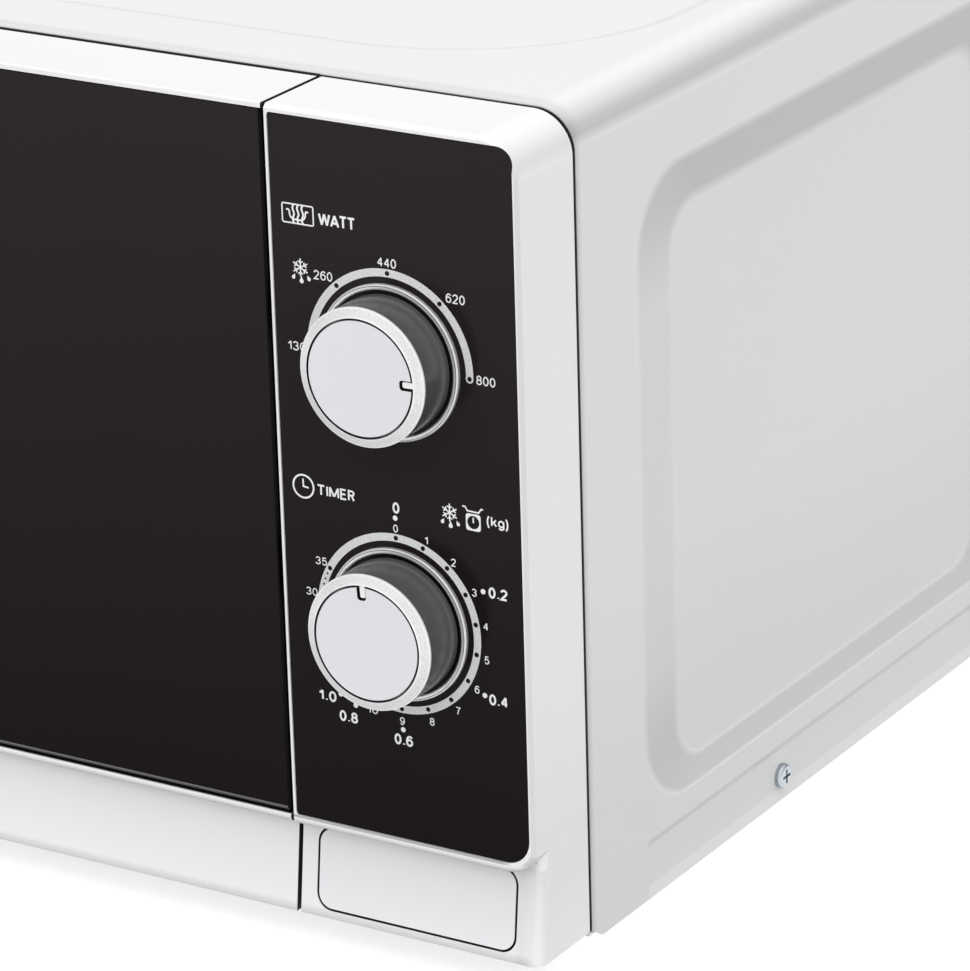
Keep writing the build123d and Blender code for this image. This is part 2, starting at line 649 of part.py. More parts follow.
def fascia_body():
    outline = rect(FASCIA_LEFT, HALF_WIDTH, FASCIA_BOTTOM, FASCIA_TOP)
    outline = round_corner(outline, HALF_WIDTH, FASCIA_TOP, COVER_CORNER)
    body = front_prism(outline, PANEL_Y, FASCIA_BACK)
    front = edges_near(body, lambda c: c.Y < PANEL_Y + 0.1)
    shown = front.filter_by(lambda e: e.center().X > FASCIA_LEFT + 1 and e.center().Z > FASCIA_BOTTOM + 1)
    body = chamfer(shown, FRONT_EDGE)
    slab = rect(FASCIA_LEFT - 1, HALF_WIDTH + 1, LEDGE_Z, FASCIA_TOP + 1)
    slab = round_corner(slab, HALF_WIDTH + 1, LEDGE_Z, LEDGE_CORNER + 1)
    slab = front_prism(slab, PANEL_Y - 1, FASCIA_BACK)
    body -= lower_wedge(FASCIA_LEFT - 1, HALF_WIDTH + 1, LEDGE_Z + 2 * LEDGE_CORNER) - slab
    corner = edges_near(body, lambda c: c.X > HALF_WIDTH - 0.2 and c.Z < LEDGE_Z - 2 and c.Y < PANEL_Y + 8)
    corner = corner.filter_by(lambda edge: edge.length > LEDGE_HEIGHT / 2)
    body = fillet(corner, LOWER_EDGE)
    ledge = edges_near(body, lambda c: c.Y < PANEL_Y + 0.1 and c.Z < LEDGE_Z + LEDGE_CORNER)
    return fillet(ledge.filter_by(lambda edge: edge.center().X > FASCIA_LEFT + 1), LEDGE_EDGE)


def overlay_outline(grow):
    """Outline of the black control panel in x and z."""
    left = FASCIA_LEFT + OVERLAY_RIM - grow
    right = HALF_WIDTH - OVERLAY_SIDE_MARGIN + grow
    bottom = LEDGE_Z + OVERLAY_BOTTOM_RIM - grow
    top = FASCIA_TOP - OVERLAY_TOP_MARGIN + grow
    outline = rect(left, right, bottom, top)
    outline = round_corner(outline, right, top, OVERLAY_TOP_CORNER + grow)
    outline = round_corner(outline, right, bottom, OVERLAY_BOTTOM_CORNER + grow)
    outline = round_corner(outline, left, top, OVERLAY_LEFT_CORNER + grow)
    return round_corner(outline, left, bottom, OVERLAY_LEFT_CORNER + grow)


def button_outline(grow):
    width = BUTTON_RIGHT - BUTTON_LEFT + 2 * grow
    height = BUTTON_HEIGHT + 2 * grow
    middle = (BUTTON_LEFT + BUTTON_RIGHT) / 2
    return Pos(middle, BUTTON_MID_Z) * RectangleRounded(width, height, BUTTON_CORNER + grow)


def timer_bottom():
    return (POWER_Z + TIMER_Z - TIMER_SIZE[2]) / 2


def timer_top():
    return timer_bottom() + TIMER_SIZE[2]


def control_fascia():
    body = fascia_body()
    left = FASCIA_LEFT + FASCIA_WALL
    right = HALF_WIDTH - FASCIA_WALL
    split = LEDGE_Z + FASCIA_WALL
    upper = rect(left, right, split, FASCIA_TOP - FASCIA_WALL)
    upper = round_corner(upper, right, FASCIA_TOP - FASCIA_WALL, COVER_CORNER - FASCIA_WALL)
    body -= front_prism(upper, PANEL_Y + FRONT_WALL, FASCIA_BACK + 1)
    lower_start = PANEL_Y + LOWER_TOP_DEPTH + FASCIA_WALL
    body -= block(left, right, lower_start, FASCIA_BACK + 1, FASCIA_BOTTOM + FASCIA_WALL, split)
    body -= front_prism(overlay_outline(FIT_GAP), PANEL_Y - 1, OVERLAY_BACK)
    body -= front_prism(button_outline(BUTTON_CLEARANCE), PANEL_Y - 1, lower_start + 1)
    for z in (POWER_Z, TIMER_Z):
        body -= rod_y(KNOB_X, z, PANEL_Y - 1, PANEL_Y + FRONT_WALL + 1, BUSH_RADIUS + FIT_GAP)
    reach = TIMER_SIZE[0] / 2 - BUSH_RADIUS
    for x in (KNOB_X - reach, KNOB_X + reach):
        for z in (timer_bottom() + BUSH_RADIUS, timer_top() - BUSH_RADIUS):
            body += rod_y(x, z, PANEL_Y + FRONT_WALL, TIMER_FRONT, BUSH_RADIUS / 2)
    for z in (LEDGE_Z + 2 * BUSH_RADIUS, FASCIA_TOP - 2 * BUSH_RADIUS):
        for x in (left, right - BUSH_RADIUS):
            body += block(x, x + BUSH_RADIUS, PANEL_Y + FRONT_WALL, FRAME_FRONT, z, z + BUSH_RADIUS / 2)
    return body


def panel_overlay():
    plate = front_prism(overlay_outline(0), OVERLAY_FACE, OVERLAY_BACK)
    for z in (POWER_Z, TIMER_Z):
        plate -= rod_y(KNOB_X, z, OVERLAY_FACE - 1, OVERLAY_BACK + 1, BUSH_RADIUS + FIT_GAP)
    return plate


def bezel(z):
    """Thin bright ring round a knob."""
    ring = rod_y(KNOB_X, z, OVERLAY_FACE - BEZEL_HEIGHT, OVERLAY_FACE, BEZEL_RADIUS)
    ring -= rod_y(KNOB_X, z, OVERLAY_FACE - BEZEL_HEIGHT - 1, OVERLAY_FACE + 1, BEZEL_RADIUS - BEZEL_WALL)
    front = edges_near(ring, lambda c: c.Y < OVERLAY_FACE - BEZEL_HEIGHT + 0.1)
    return fillet(front, BEZEL_WALL / 3)


def dial_bezels():
    return [bezel(z) for z in (POWER_Z, TIMER_Z)]


# Knobs: each stands on its shaft, with its pointer turned to a clock angle


def knob_seat(standoff):
    """Depth at which a knob's rim and disc sit on its body."""
    return PANEL_Y - standoff + TRIM_EDGE


def knob_body(z, standoff):
    seat = knob_seat(standoff)
    back = OVERLAY_FACE - KNOB_GAP
    body = rod_y(KNOB_X, z, seat, back, KNOB_RADIUS - FIT_GAP)
    body -= rod_y(KNOB_X, z, seat + KNOB_WALL, back + 1, KNOB_RADIUS - KNOB_WALL)
    body += rod_y(KNOB_X, z, seat, back, HUB_RADIUS)
    bore = SHAFT_RADIUS + PRESS_CLEARANCE
    return body - rod_y(KNOB_X, z, seat + KNOB_WALL, back + 1, bore)


def pointer(z, front, back, angle, grow):
    """Small tab that runs inwards from the knob's rim at a clock angle."""
    low = CAP_RADIUS - POINTER_LENGTH - grow
    high = KNOB_RADIUS - TRIM_WIDTH / 2
    width = POINTER_WIDTH + 2 * grow
    tab = Pos(0, (low + high) / 2) * RectangleRounded(width, high - low, POINTER_CORNER + grow)
    return Pos(KNOB_X, 0, z) * Rot(0, angle, 0) * front_prism(tab, front, back)


def knob_trim(z, standoff, angle):
    """Bevelled rim that rises inwards to the disc, with the pointer tab."""
    seat = knob_seat(standoff)
    front = PANEL_Y - standoff
    inner = KNOB_RADIUS - TRIM_WIDTH
    profile = Polygon(
        (inner, seat),
        (KNOB_RADIUS, seat),
        (KNOB_RADIUS, front),
        (inner, front - TRIM_RISE),
        align=None,
    )
    ring = Pos(KNOB_X, 0, z) * revolve(Plane.XY * profile, Axis.Y)
    return ring + pointer(z, front - TRIM_RISE / 2, seat, angle, 0)


def knob_cap(z, standoff, angle):
    seat = knob_seat(standoff)
    face = PANEL_Y - standoff - TRIM_RISE
    disc = rod_y(KNOB_X, z, face, seat, CAP_RADIUS)
    disc = fillet(edges_near(disc, lambda c: c.Y < face + 0.1), CAP_EDGE)
    return disc - pointer(z, face - 1, seat + 1, angle, CAP_GROOVE)


def knob_shaft(z, standoff):
    return rod_y(KNOB_X, z, knob_seat(standoff) + KNOB_WALL, TIMER_BACK - FASCIA_WALL, SHAFT_RADIUS)


def timer_unit():
    half = TIMER_SIZE[0] / 2
    unit = block(KNOB_X - half, KNOB_X + half, TIMER_FRONT, TIMER_BACK, timer_bottom(), timer_top())
    unit = fillet(unit.edges().filter_by(Axis.Y), BUSH_RADIUS)
    bore = SHAFT_RADIUS + RUN_CLEARANCE
    for z in (POWER_Z, TIMER_Z):
        unit += rod_y(KNOB_X, z, OVERLAY_FACE, TIMER_FRONT, BUSH_RADIUS)
        unit -= rod_y(KNOB_X, z, OVERLAY_FACE - 1, TIMER_BACK - FASCIA_WALL + MOVE_GAP, bore)
    return unit


# Release button, spring and lever


def release_button():
    back = PANEL_Y + LOWER_TOP_DEPTH + BUTTON_DEPTH
    body = front_prism(button_outline(0), PANEL_Y - 1, back)
    body -= lower_wedge(FASCIA_LEFT - 1, HALF_WIDTH + 1, LEDGE_Z + LEDGE_CORNER)
    hollow_start = PANEL_Y + LOWER_TOP_DEPTH + BUTTON_WALL
    body -= front_prism(button_outline(-BUTTON_WALL), hollow_start, back + 1)
    pusher_end = LEVER_PAD_FRONT - MOVE_GAP
    body += rod_y(PUSHER_X, BUTTON_MID_Z, hollow_start - BUTTON_WALL / 2, pusher_end, PUSHER_RADIUS)
    return fillet(edges_near(body, lambda c: c.Y > pusher_end - 0.1), PUSHER_ROUNDING)


def button_spring():
    front = PANEL_Y + LOWER_TOP_DEPTH + BUTTON_WALL
    x, z = BUTTON_SPRING_X, BUTTON_MID_Z
    spring = rod_y(x, z, front, FRAME_FRONT, SPRING_RADIUS)
    return spring - rod_y(x, z, front - 1, FRAME_FRONT + 1, SPRING_RADIUS - SPRING_WIRE)


def release_lever():
    left = BOARD_X + BOARD_THICK + MOVE_GAP
    right = PUSHER_X + PUSHER_WIDTH / 2
    lever = rod_x(LEVER_Y, LEVER_Z, left, right, LEVER_HUB_RADIUS)
    lever += block(right - PUSHER_WIDTH, right, LEVER_PAD_FRONT, LEVER_PAD_FRONT + LEVER_ARM,
                   BUTTON_MID_Z - PUSHER_HEIGHT, LEVER_Z)
    finger_top = HOOK_BOTTOMS[0] - HOOK_NOSE - LATCH_TRAVEL
    lever += block(left, left + LATCH_WIDTH, LEVER_Y, LEVER_Y + LEVER_ARM, LEVER_Z, finger_top)
    return lever - rod_x(LEVER_Y, LEVER_Z, left - 1, right + 1, LEVER_PIVOT_RADIUS + RUN_CLEARANCE)


def latch_board():
    back = COVER_FRONT + BOARD_DEPTH
    right = DOOR_RIGHT
    board = block(BOARD_X, BOARD_X + BOARD_THICK, COVER_FRONT, back, BOARD_BOTTOM, BOARD_TOP)
    flange = rect(BOARD_X, right, LEVER_Z + 2 * LEVER_HUB_RADIUS, BOARD_TOP)
    for hook in HOOK_BOTTOMS:
        flange -= hook_slot(hook)
    board += front_prism(flange, COVER_FRONT, COVER_FRONT + BOARD_THICK)
    return board + rod_x(LEVER_Y, LEVER_Z, BOARD_X, PUSHER_X + PUSHER_WIDTH / 2, LEVER_PIVOT_RADIUS)


def interlock_switches():
    width, depth, height = SWITCH_SIZE
    left = BOARD_X + BOARD_THICK
    start = HOOK_TIP + SLOT_CLEARANCE
    middle = (HOOK_BOTTOMS[0] + HOOK_BOTTOMS[1]) / 2
    return [
        block(left, left + width, start, start + depth, z, z + height)
        for z in (HOOK_BOTTOMS[0], middle, HOOK_BOTTOMS[1])
    ]


# Door


def door_outline(inset):
    """Front outline of the door, rounded where it follows the cover's top corner."""
    left = -HALF_WIDTH + inset
    top = FASCIA_TOP - inset
    outline = rect(left, DOOR_RIGHT - inset, FASCIA_BOTTOM + inset, top)
    return round_corner(outline, left, top, COVER_CORNER - inset)


def panel_outline(grow):
    left = -HALF_WIDTH + PANEL_SIDE_MARGIN - grow
    right = DOOR_RIGHT + grow
    top = FASCIA_TOP - PANEL_TOP_MARGIN + grow
    outline = rect(left, right, FASCIA_BOTTOM + PANEL_BOTTOM - grow, top)
    return round_corner(outline, left, top, PANEL_CORNER + grow)


def window_outline(grow):
    """Viewing window in x and z, centred on the cavity's mouth."""
    return rect(CAVITY_LEFT + WINDOW_MARGIN - grow, CAVITY_RIGHT - WINDOW_MARGIN + grow,
                CAVITY_FLOOR + WINDOW_MARGIN - grow, CAVITY_TOP - WINDOW_MARGIN + grow)


def door_frame():
    body = front_prism(door_outline(0), DOOR_FRONT, DOOR_BACK)
    front = edges_near(body, lambda c: c.Y < DOOR_FRONT + 0.1)
    shown = front.filter_by(lambda e: e.center().X < DOOR_RIGHT - 1 and e.center().Z > FASCIA_BOTTOM + 1)
    body = fillet(shown, FRONT_EDGE - DOOR_SETBACK)
    body -= door_swing_corner()
    body -= lower_wedge(-HALF_WIDTH - 1, DOOR_RIGHT + 1, LEDGE_Z)
    ledge = edges_near(body, lambda c: c.Y < DOOR_FRONT + 0.1 and abs(c.Z - LEDGE_Z) < 0.1)
    body = fillet(ledge.filter_by(Axis.X), LEDGE_EDGE)
    body -= front_prism(panel_outline(FIT_GAP), DOOR_FRONT - 1, DOOR_FRONT + PANEL_THICK)
    groove_top = FASCIA_BOTTOM + PANEL_BOTTOM
    body -= block(-HALF_WIDTH + PANEL_SIDE_MARGIN, DOOR_RIGHT + 1, DOOR_FRONT - 1, PANEL_Y + SHADOW_DEPTH,
                  groove_top - SHADOW_GROOVE, groove_top + FIT_GAP)
    rim = edges_near(body, lambda c: c.Y < DOOR_FRONT + 0.1 and abs(c.Z - groove_top + SHADOW_GROOVE) < 0.1)
    body = fillet(rim.filter_by(Axis.X), SHADOW_EDGE)
    hollow = front_prism(door_outline(FASCIA_WALL), DOOR_FRONT + PANEL_THICK + FASCIA_WALL, DOOR_BACK + 1)
    hollow -= block(-HALF_WIDTH, DOOR_RIGHT, DOOR_FRONT, PANEL_Y + SHADOW_DEPTH + FASCIA_WALL,
                    FASCIA_BOTTOM, groove_top + FASCIA_WALL)
    for level in HINGE_LEVELS:
        hollow -= pivot_boss(level)
    hollow -= latch_guides()
    body -= hollow
    body -= front_prism(window_outline(0), DOOR_FRONT, DOOR_FRONT + PANEL_THICK + FASCIA_WALL + 1)
    for level in HINGE_LEVELS:
        body -= rod_z(PIVOT_X, PIVOT_Y, level - HINGE_SLOT / 2, level + HINGE_SLOT / 2, PIVOT_SWEEP)
        body -= hinge_pin(level, PRESS_CLEARANCE)
    return body


def door_swing_corner():
    """What is taken off the door's rear left corner, so that it clears the cabinet as it turns."""
    x = -HALF_WIDTH + PIVOT_SIDE
    y = DOOR_BACK - PIVOT_SIDE
    corner = block(-HALF_WIDTH - 1, x, y, DOOR_BACK + 1, FASCIA_BOTTOM - 1, FASCIA_TOP + 1)
    return corner - rod_z(x, y, FASCIA_BOTTOM - 1, FASCIA_TOP + 1, PIVOT_SIDE)


def pivot_boss(level):
    """Plastic round a hinge pin, above and below the hinge arm, joined to the door's side."""
    half = HINGE_SLOT / 2 + BOSS_HEIGHT
    low = level - half
    high = level + half
    boss = rod_z(PIVOT_X, PIVOT_Y, low, high, PIVOT_BOSS_RADIUS)
    return boss + block(-HALF_WIDTH, PIVOT_X, PIVOT_Y - PIN_RADIUS, PIVOT_Y + PIN_RADIUS, low, high)


def latch_guides():
    """Guide beside the latch bar and the seat over its spring."""
    right = DOOR_RIGHT
    side = LATCH_X + LATCH_WIDTH / 2
    low = LATCH_BAR_BOTTOM + LATCH_BAR_HEIGHT / 2 - HOOK_HEIGHT
    guides = block(side + MOVE_GAP, right, LATCH_FRONT, LATCH_BACK, low, low + 2 * HOOK_HEIGHT)
    left = LATCH_X - LATCH_WIDTH
    seat = LATCH_BAR_BOTTOM + LATCH_BAR_HEIGHT + LATCH_SPRING_LENGTH
    guides += block(left, right, LATCH_FRONT - 2, LATCH_BACK, seat, seat + FASCIA_WALL)
    stop = LATCH_BAR_BOTTOM - MOVE_GAP
    return guides + block(left, right, LATCH_FRONT - 2, LATCH_BACK, stop - FASCIA_WALL, stop)


def hinge_pin(level, grow):
    half = HINGE_SLOT / 2 + BOSS_HEIGHT - FASCIA_WALL / 2
    return rod_z(PIVOT_X, PIVOT_Y, level - half, level + half, PIN_RADIUS + grow)


def hinge_pins():
    return [hinge_pin(level, 0) for level in HINGE_LEVELS]


def door_hinges():
    """Arms that carry the door, each with a tongue through the front frame to a plate behind it."""
    group = []
    left = PIVOT_X - HINGE_HALF_WIDTH
    right = PIVOT_X + HINGE_HALF_WIDTH
    for level in HINGE_LEVELS:
        low = level - HINGE_THICK / 2
        high = level + HINGE_THICK / 2
        arm = block(left, right, PIVOT_Y, FRAME_FRONT, low, high)
        arm += rod_z(PIVOT_X, PIVOT_Y, low, high, HINGE_HALF_WIDTH)
        arm -= rod_z(PIVOT_X, PIVOT_Y, low - 1, high + 1, PIN_RADIUS + RUN_CLEARANCE)
        plate_low = max(FRAME_BOTTOM, level - HINGE_PLATE_HEIGHT / 2)
        plate_high = min(FRAME_TOP, level + HINGE_PLATE_HEIGHT / 2)
        plate_left = max(left, -FRAME_SIDE)
        arm += block(PIVOT_X, right, FRAME_FRONT, COVER_FRONT, low, high)
        plate_back = COVER_FRONT + HINGE_PLATE
        group.append(arm + block(plate_left, right, COVER_FRONT, plate_back, plate_low, plate_high))
    return group


def door_panel():
    plate = front_prism(panel_outline(0), DOOR_FRONT, DOOR_FRONT + PANEL_THICK)
    front = edges_near(plate, lambda c: c.Y < DOOR_FRONT + 0.1)
    upper = front.filter_by(lambda e: e.center().Z > FASCIA_BOTTOM + PANEL_BOTTOM + 0.1)
    plate = chamfer(upper, PANEL_EDGE)
    lower = edges_near(plate, lambda c: c.Y < DOOR_FRONT + 0.1 and c.Z < FASCIA_BOTTOM + PANEL_BOTTOM + 0.1)
    return chamfer(lower, PANEL_LOWER_EDGE)


def choke_outline(grow):
    return rect(CAVITY_LEFT - CHOKE_OVERLAP - grow, CAVITY_RIGHT + CHOKE_OVERLAP + grow,
                CAVITY_FLOOR - CHOKE_OVERLAP - grow, CAVITY_TOP + CHOKE_OVERLAP + grow)


def door_screen():
    """Steel screen plate with the folded choke wall round its edge."""
    start = DOOR_BACK - CHOKE_PLATE_DEPTH
    screen = front_prism(choke_outline(0), start, start + SHEET)
    wall = choke_outline(0) - choke_outline(-SHEET)
    return screen + front_prism(wall, start + SHEET, start + CHOKE_WALL)


def choke_cover():
    front = DOOR_BACK - CHOKE_PLATE_DEPTH + CHOKE_WALL
    plate = rect(CAVITY_LEFT - CHOKE_OVERLAP, DOOR_RIGHT - FASCIA_WALL - FIT_GAP,
                 FASCIA_BOTTOM + FASCIA_WALL + FIT_GAP, FASCIA_TOP - FASCIA_WALL - FIT_GAP)
    plate -= window_outline(WINDOW_MARGIN / 4)
    for hook in HOOK_BOTTOMS:
        plate -= hook_slot(hook)
    return front_prism(plate, front, front + CHOKE_COVER_THICK)


def window_film():
    start = DOOR_BACK - CHOKE_PLATE_DEPTH + SHEET
    return front_prism(window_outline(WINDOW_MARGIN / 4), start, start + FILM_THICK)


def door_latch():
    left = LATCH_X - LATCH_WIDTH / 2
    right = LATCH_X + LATCH_WIDTH / 2
    top = LATCH_BAR_BOTTOM + LATCH_BAR_HEIGHT
    latch = block(left, right, LATCH_FRONT, LATCH_BACK, LATCH_BAR_BOTTOM, top)
    nose = HOOK_TIP - HOOK_NOSE_LENGTH
    for bottom in HOOK_BOTTOMS:
        latch += block(left + 1, right - 1, LATCH_BACK, HOOK_TIP, bottom, bottom + HOOK_HEIGHT)
        latch += block(left + 1, right - 1, nose, HOOK_TIP, bottom - HOOK_NOSE, bottom)
    return latch


def latch_spring():
    bottom = LATCH_BAR_BOTTOM + LATCH_BAR_HEIGHT
    top = bottom + LATCH_SPRING_LENGTH
    middle = (LATCH_FRONT + LATCH_BACK) / 2
    radius = LATCH_WIDTH / 2
    tube = rod_z(LATCH_X, middle, bottom, top, radius)
    return tube - rod_z(LATCH_X, middle, bottom - 1, top + 1, radius - SPRING_WIRE)


# Turntable


def turntable_motor():
    top = CAVITY_FLOOR - SHEET
    motor = rod_z(TRAY_X, TRAY_Y, top - TURNTABLE_MOTOR_HEIGHT, top, TURNTABLE_MOTOR_RADIUS)
    for side in (-1, 1):
        x0, x1 = sorted((TRAY_X, TRAY_X + side * TURNTABLE_MOTOR_RADIUS * 1.4))
        motor += block(x0, x1, TRAY_Y - COUPLER_RADIUS, TRAY_Y + COUPLER_RADIUS, top - SHEET, top)
    socket = COUPLER_STEM_RADIUS + RUN_CLEARANCE
    return motor - rod_z(TRAY_X, TRAY_Y, top - TURNTABLE_MOTOR_HEIGHT / 2, top + 1, socket)


def turntable_coupler():
    bottom = CAVITY_FLOOR + MOVE_GAP
    top = bottom + COUPLER_HEIGHT
    coupler = rod_z(TRAY_X, TRAY_Y, bottom, top, COUPLER_RADIUS)
    stem_bottom = CAVITY_FLOOR - SHEET - TURNTABLE_MOTOR_HEIGHT / 2 + MOVE_GAP
    coupler += rod_z(TRAY_X, TRAY_Y, stem_bottom, bottom, COUPLER_STEM_RADIUS)
    half = COUPLER_ARM_WIDTH / 2
    for angle in (0, 120, 240):
        arm = block(0, COUPLER_ARM, -half, half, top - COUPLER_HEIGHT / 2, top)
        coupler += Pos(TRAY_X, TRAY_Y, 0) * Rot(0, 0, angle) * arm
    return coupler


def glass_tray():
    floor_radius = TRAY_RADIUS - TRAY_FLARE
    profile = Polygon(
        (0, TRAY_BOTTOM),
        (floor_radius, TRAY_BOTTOM),
        (TRAY_RADIUS, TRAY_BOTTOM + TRAY_RIM - TRAY_THICK / 2),
        (TRAY_RADIUS, TRAY_BOTTOM + TRAY_RIM),
        (TRAY_RADIUS - TRAY_THICK / 2, TRAY_BOTTOM + TRAY_RIM),
        (floor_radius - TRAY_THICK / 2, TRAY_BOTTOM + TRAY_THICK),
        (0, TRAY_BOTTOM + TRAY_THICK),
        align=None,
    )
    tray = revolve(Plane.XZ * profile, Axis.Z)
    half = COUPLER_ARM_WIDTH / 2
    lug_bottom = CAVITY_FLOOR + COUPLER_HEIGHT - half
    for angle in (60, 180, 300):
        lug = block(COUPLER_RADIUS + half, COUPLER_ARM, -half, half, lug_bottom, TRAY_BOTTOM)
        tray += Rot(0, 0, angle) * lug
    return Pos(TRAY_X, TRAY_Y, 0) * tray


def roller_ring():
    outer = ROLLER_TRACK - ROLLER_WIDTH / 2 - MOVE_GAP
    low = ROLLER_Z - RING_THICK / 2
    high = ROLLER_Z + RING_THICK / 2
    ring = rod_z(0, 0, low, high, outer) - rod_z(0, 0, low - 1, high + 1, outer - RING_WIDTH)
    axle_end = ROLLER_TRACK + ROLLER_WIDTH / 2 + AXLE_RADIUS
    for angle in (0, 120, 240):
        ring += Rot(0, 0, angle) * rod_x(0, ROLLER_Z, outer - RING_WIDTH / 2, axle_end, AXLE_RADIUS)
    return Pos(TRAY_X, TRAY_Y, 0) * ring


def roller(angle):
    inner = ROLLER_TRACK - ROLLER_WIDTH / 2
    outer = ROLLER_TRACK + ROLLER_WIDTH / 2
    wheel = rod_x(0, ROLLER_Z, inner, outer, ROLLER_RADIUS)
    wheel = fillet(wheel.edges(), 1.0)
    wheel -= rod_x(0, ROLLER_Z, inner - 1, outer + 1, AXLE_RADIUS + RUN_CLEARANCE)
    return Pos(TRAY_X, TRAY_Y, 0) * Rot(0, 0, angle) * wheel


# Electrical pieces


def waveguide():
    width, length, height = WAVEGUIDE_SIZE
    right = COMPARTMENT_X + width
    duct = block(COMPARTMENT_X, right, WAVEGUIDE_Y, WAVEGUIDE_Y + length, WAVEGUIDE_Z, WAVEGUIDE_Z + height)
    duct -= block(COMPARTMENT_X - 1, right - SHEET, WAVEGUIDE_Y + SHEET, WAVEGUIDE_Y + length - SHEET,
                  WAVEGUIDE_Z + SHEET, WAVEGUIDE_Z + height - SHEET)
    return duct - rod_x(MICA_Y, MICA_Z, right - 2 * SHEET, right + 1, ANTENNA_RADIUS + SHEET)


def waveguide_cover():
    return block(CAVITY_RIGHT - SHEET, CAVITY_RIGHT, MICA_Y - MICA_SIZE[0] / 2, MICA_Y + MICA_SIZE[0] / 2,
                 MICA_Z - MICA_SIZE[1] / 2, MICA_Z + MICA_SIZE[1] / 2)


def magnetron():
    width, length, height = MAGNETRON_SIZE
    x0, y0, z0 = MAGNETRON_X, MAGNETRON_Y, MAGNETRON_Z
    wall = 2 * SHEET
    yoke = block(x0, x0 + width, y0, y0 + length, z0, z0 + height)
    yoke -= block(x0 + wall, x0 + width - wall, y0 - 1, y0 + length + 1, z0 + wall, z0 + height - wall)
    middle_y = y0 + length / 2
    middle_z = z0 + height / 2
    yoke += rod_x(middle_y, middle_z, x0, x0 + width, height / 4)
    yoke += rod_x(middle_y, middle_z, x0 + SHEET - WAVEGUIDE_SIZE[0] / 2, x0, ANTENNA_RADIUS)
    pitch = (width - 2 * wall) / (MAGNETRON_FINS + 1)
    for step in range(1, MAGNETRON_FINS + 1):
        x = x0 + wall + step * pitch
        yoke += block(x - SHEET / 2, x + SHEET / 2, y0 + wall, y0 + length - wall,
                      z0 + wall, z0 + height - wall)
    return yoke


def transformer_core():
    width, length, height = TRANSFORMER_SIZE
    x0 = COMPARTMENT_MID - width / 2
    y0 = TRANSFORMER_Y
    core = block(x0, x0 + width, y0, y0 + length, BASE_TOP, BASE_TOP + height)
    window = winding_boxes(0)
    for hole in window:
        core -= hole
    return core


def winding_boxes(shrink):
    """Two coils, lower and upper, that pass through the core's windows."""
    width, length, height = WINDING_SIZE
    y_middle = TRANSFORMER_Y + TRANSFORMER_SIZE[1] / 2
    thick = TRANSFORMER_SIZE[0] / 8
    y0 = y_middle - length / 2 + shrink
    y1 = y_middle + length / 2 - shrink
    z0 = BASE_TOP + thick + shrink
    z1 = BASE_TOP + thick + height - shrink
    boxes = []
    for x in (COMPARTMENT_MID - width / 2, COMPARTMENT_MID + width / 2):
        boxes.append(block(x - thick + shrink, x + thick - shrink, y0, y1, z0, z1))
    return boxes


def transformer_windings():
    left, right = winding_boxes(MOVE_GAP)
    box = left.bounding_box()
    far = right.bounding_box()
    coil = left + right
    end = TRANSFORMER_SIZE[1] / 2 + MOVE_GAP
    y_middle = (box.min.Y + box.max.Y) / 2
    for y0, y1 in ((box.min.Y, y_middle - end), (y_middle + end, box.max.Y)):
        coil += block(box.min.X, far.max.X, y0, y1, box.min.Z, box.max.Z)
    return coil


def capacitor():
    width, length, height = CAPACITOR_SIZE
    x0 = COMPARTMENT_MID - width / 2
    y1 = CAPACITOR_Y + length
    can = block(x0, x0 + width, CAPACITOR_Y, y1, BASE_TOP, BASE_TOP + height)
    return fillet(can.edges().filter_by(Axis.X), CAPACITOR_CORNER)


def rectifier_diode():
    y = CAPACITOR_Y + CAPACITOR_SIZE[1] / 2
    z = BASE_TOP + CAPACITOR_SIZE[2] + DIODE_RADIUS + FIT_GAP
    return rod_x(y, z, COMPARTMENT_MID - DIODE_LENGTH / 2, COMPARTMENT_MID + DIODE_LENGTH / 2, DIODE_RADIUS)


def fan_shroud():
    """Round duct on the rear panel with a bridge that carries the motor."""
    x, z = COMPARTMENT_MID, FAN_Z
    outer = FAN_DUCT_RADIUS + FAN_PLATE
    duct = rod_y(x, z, FAN_FRONT, REAR_INNER, outer)
    duct -= rod_y(x, z, FAN_FRONT - 1, REAR_INNER + 1, FAN_DUCT_RADIUS)
    half = FAN_HUB_RADIUS / 2
    bridge_front = FAN_MOTOR_BACK
    bridge_back = bridge_front + FAN_PLATE
    bridge = block(x - half, x + half, bridge_front, bridge_back, z - outer, z + outer)
    bridge -= rod_y(x, z, bridge_front - 1, bridge_back + 1, FAN_SHAFT_RADIUS + FAN_PLATE)
    for low, high in ((z - outer, z - FAN_DUCT_RADIUS), (z + FAN_DUCT_RADIUS, z + outer)):
        bridge += block(x - half, x + half, bridge_front, FAN_FRONT + FAN_WIDTH, low, high)
    return duct + (bridge - rod_y(x, z, bridge_back, REAR_INNER, FAN_DUCT_RADIUS))


def fan_motor():
    width, _, height = FAN_MOTOR_SIZE
    x, z = COMPARTMENT_MID, FAN_Z
    motor = block(x - width / 2, x + width / 2, FAN_MOTOR_FRONT, FAN_MOTOR_BACK,
                  z - height / 2, z + height / 2)
    motor = fillet(motor.edges().filter_by(Axis.Y), FAN_PLATE)
    bore = FAN_SHAFT_RADIUS + RUN_CLEARANCE
    return motor - rod_y(x, z, FAN_MOTOR_FRONT + FAN_PLATE, FAN_MOTOR_BACK + 1, bore)


def fan_shaft():
    return rod_y(COMPARTMENT_MID, FAN_Z, FAN_MOTOR_FRONT + FAN_PLATE + MOVE_GAP, FAN_BACK, FAN_SHAFT_RADIUS)


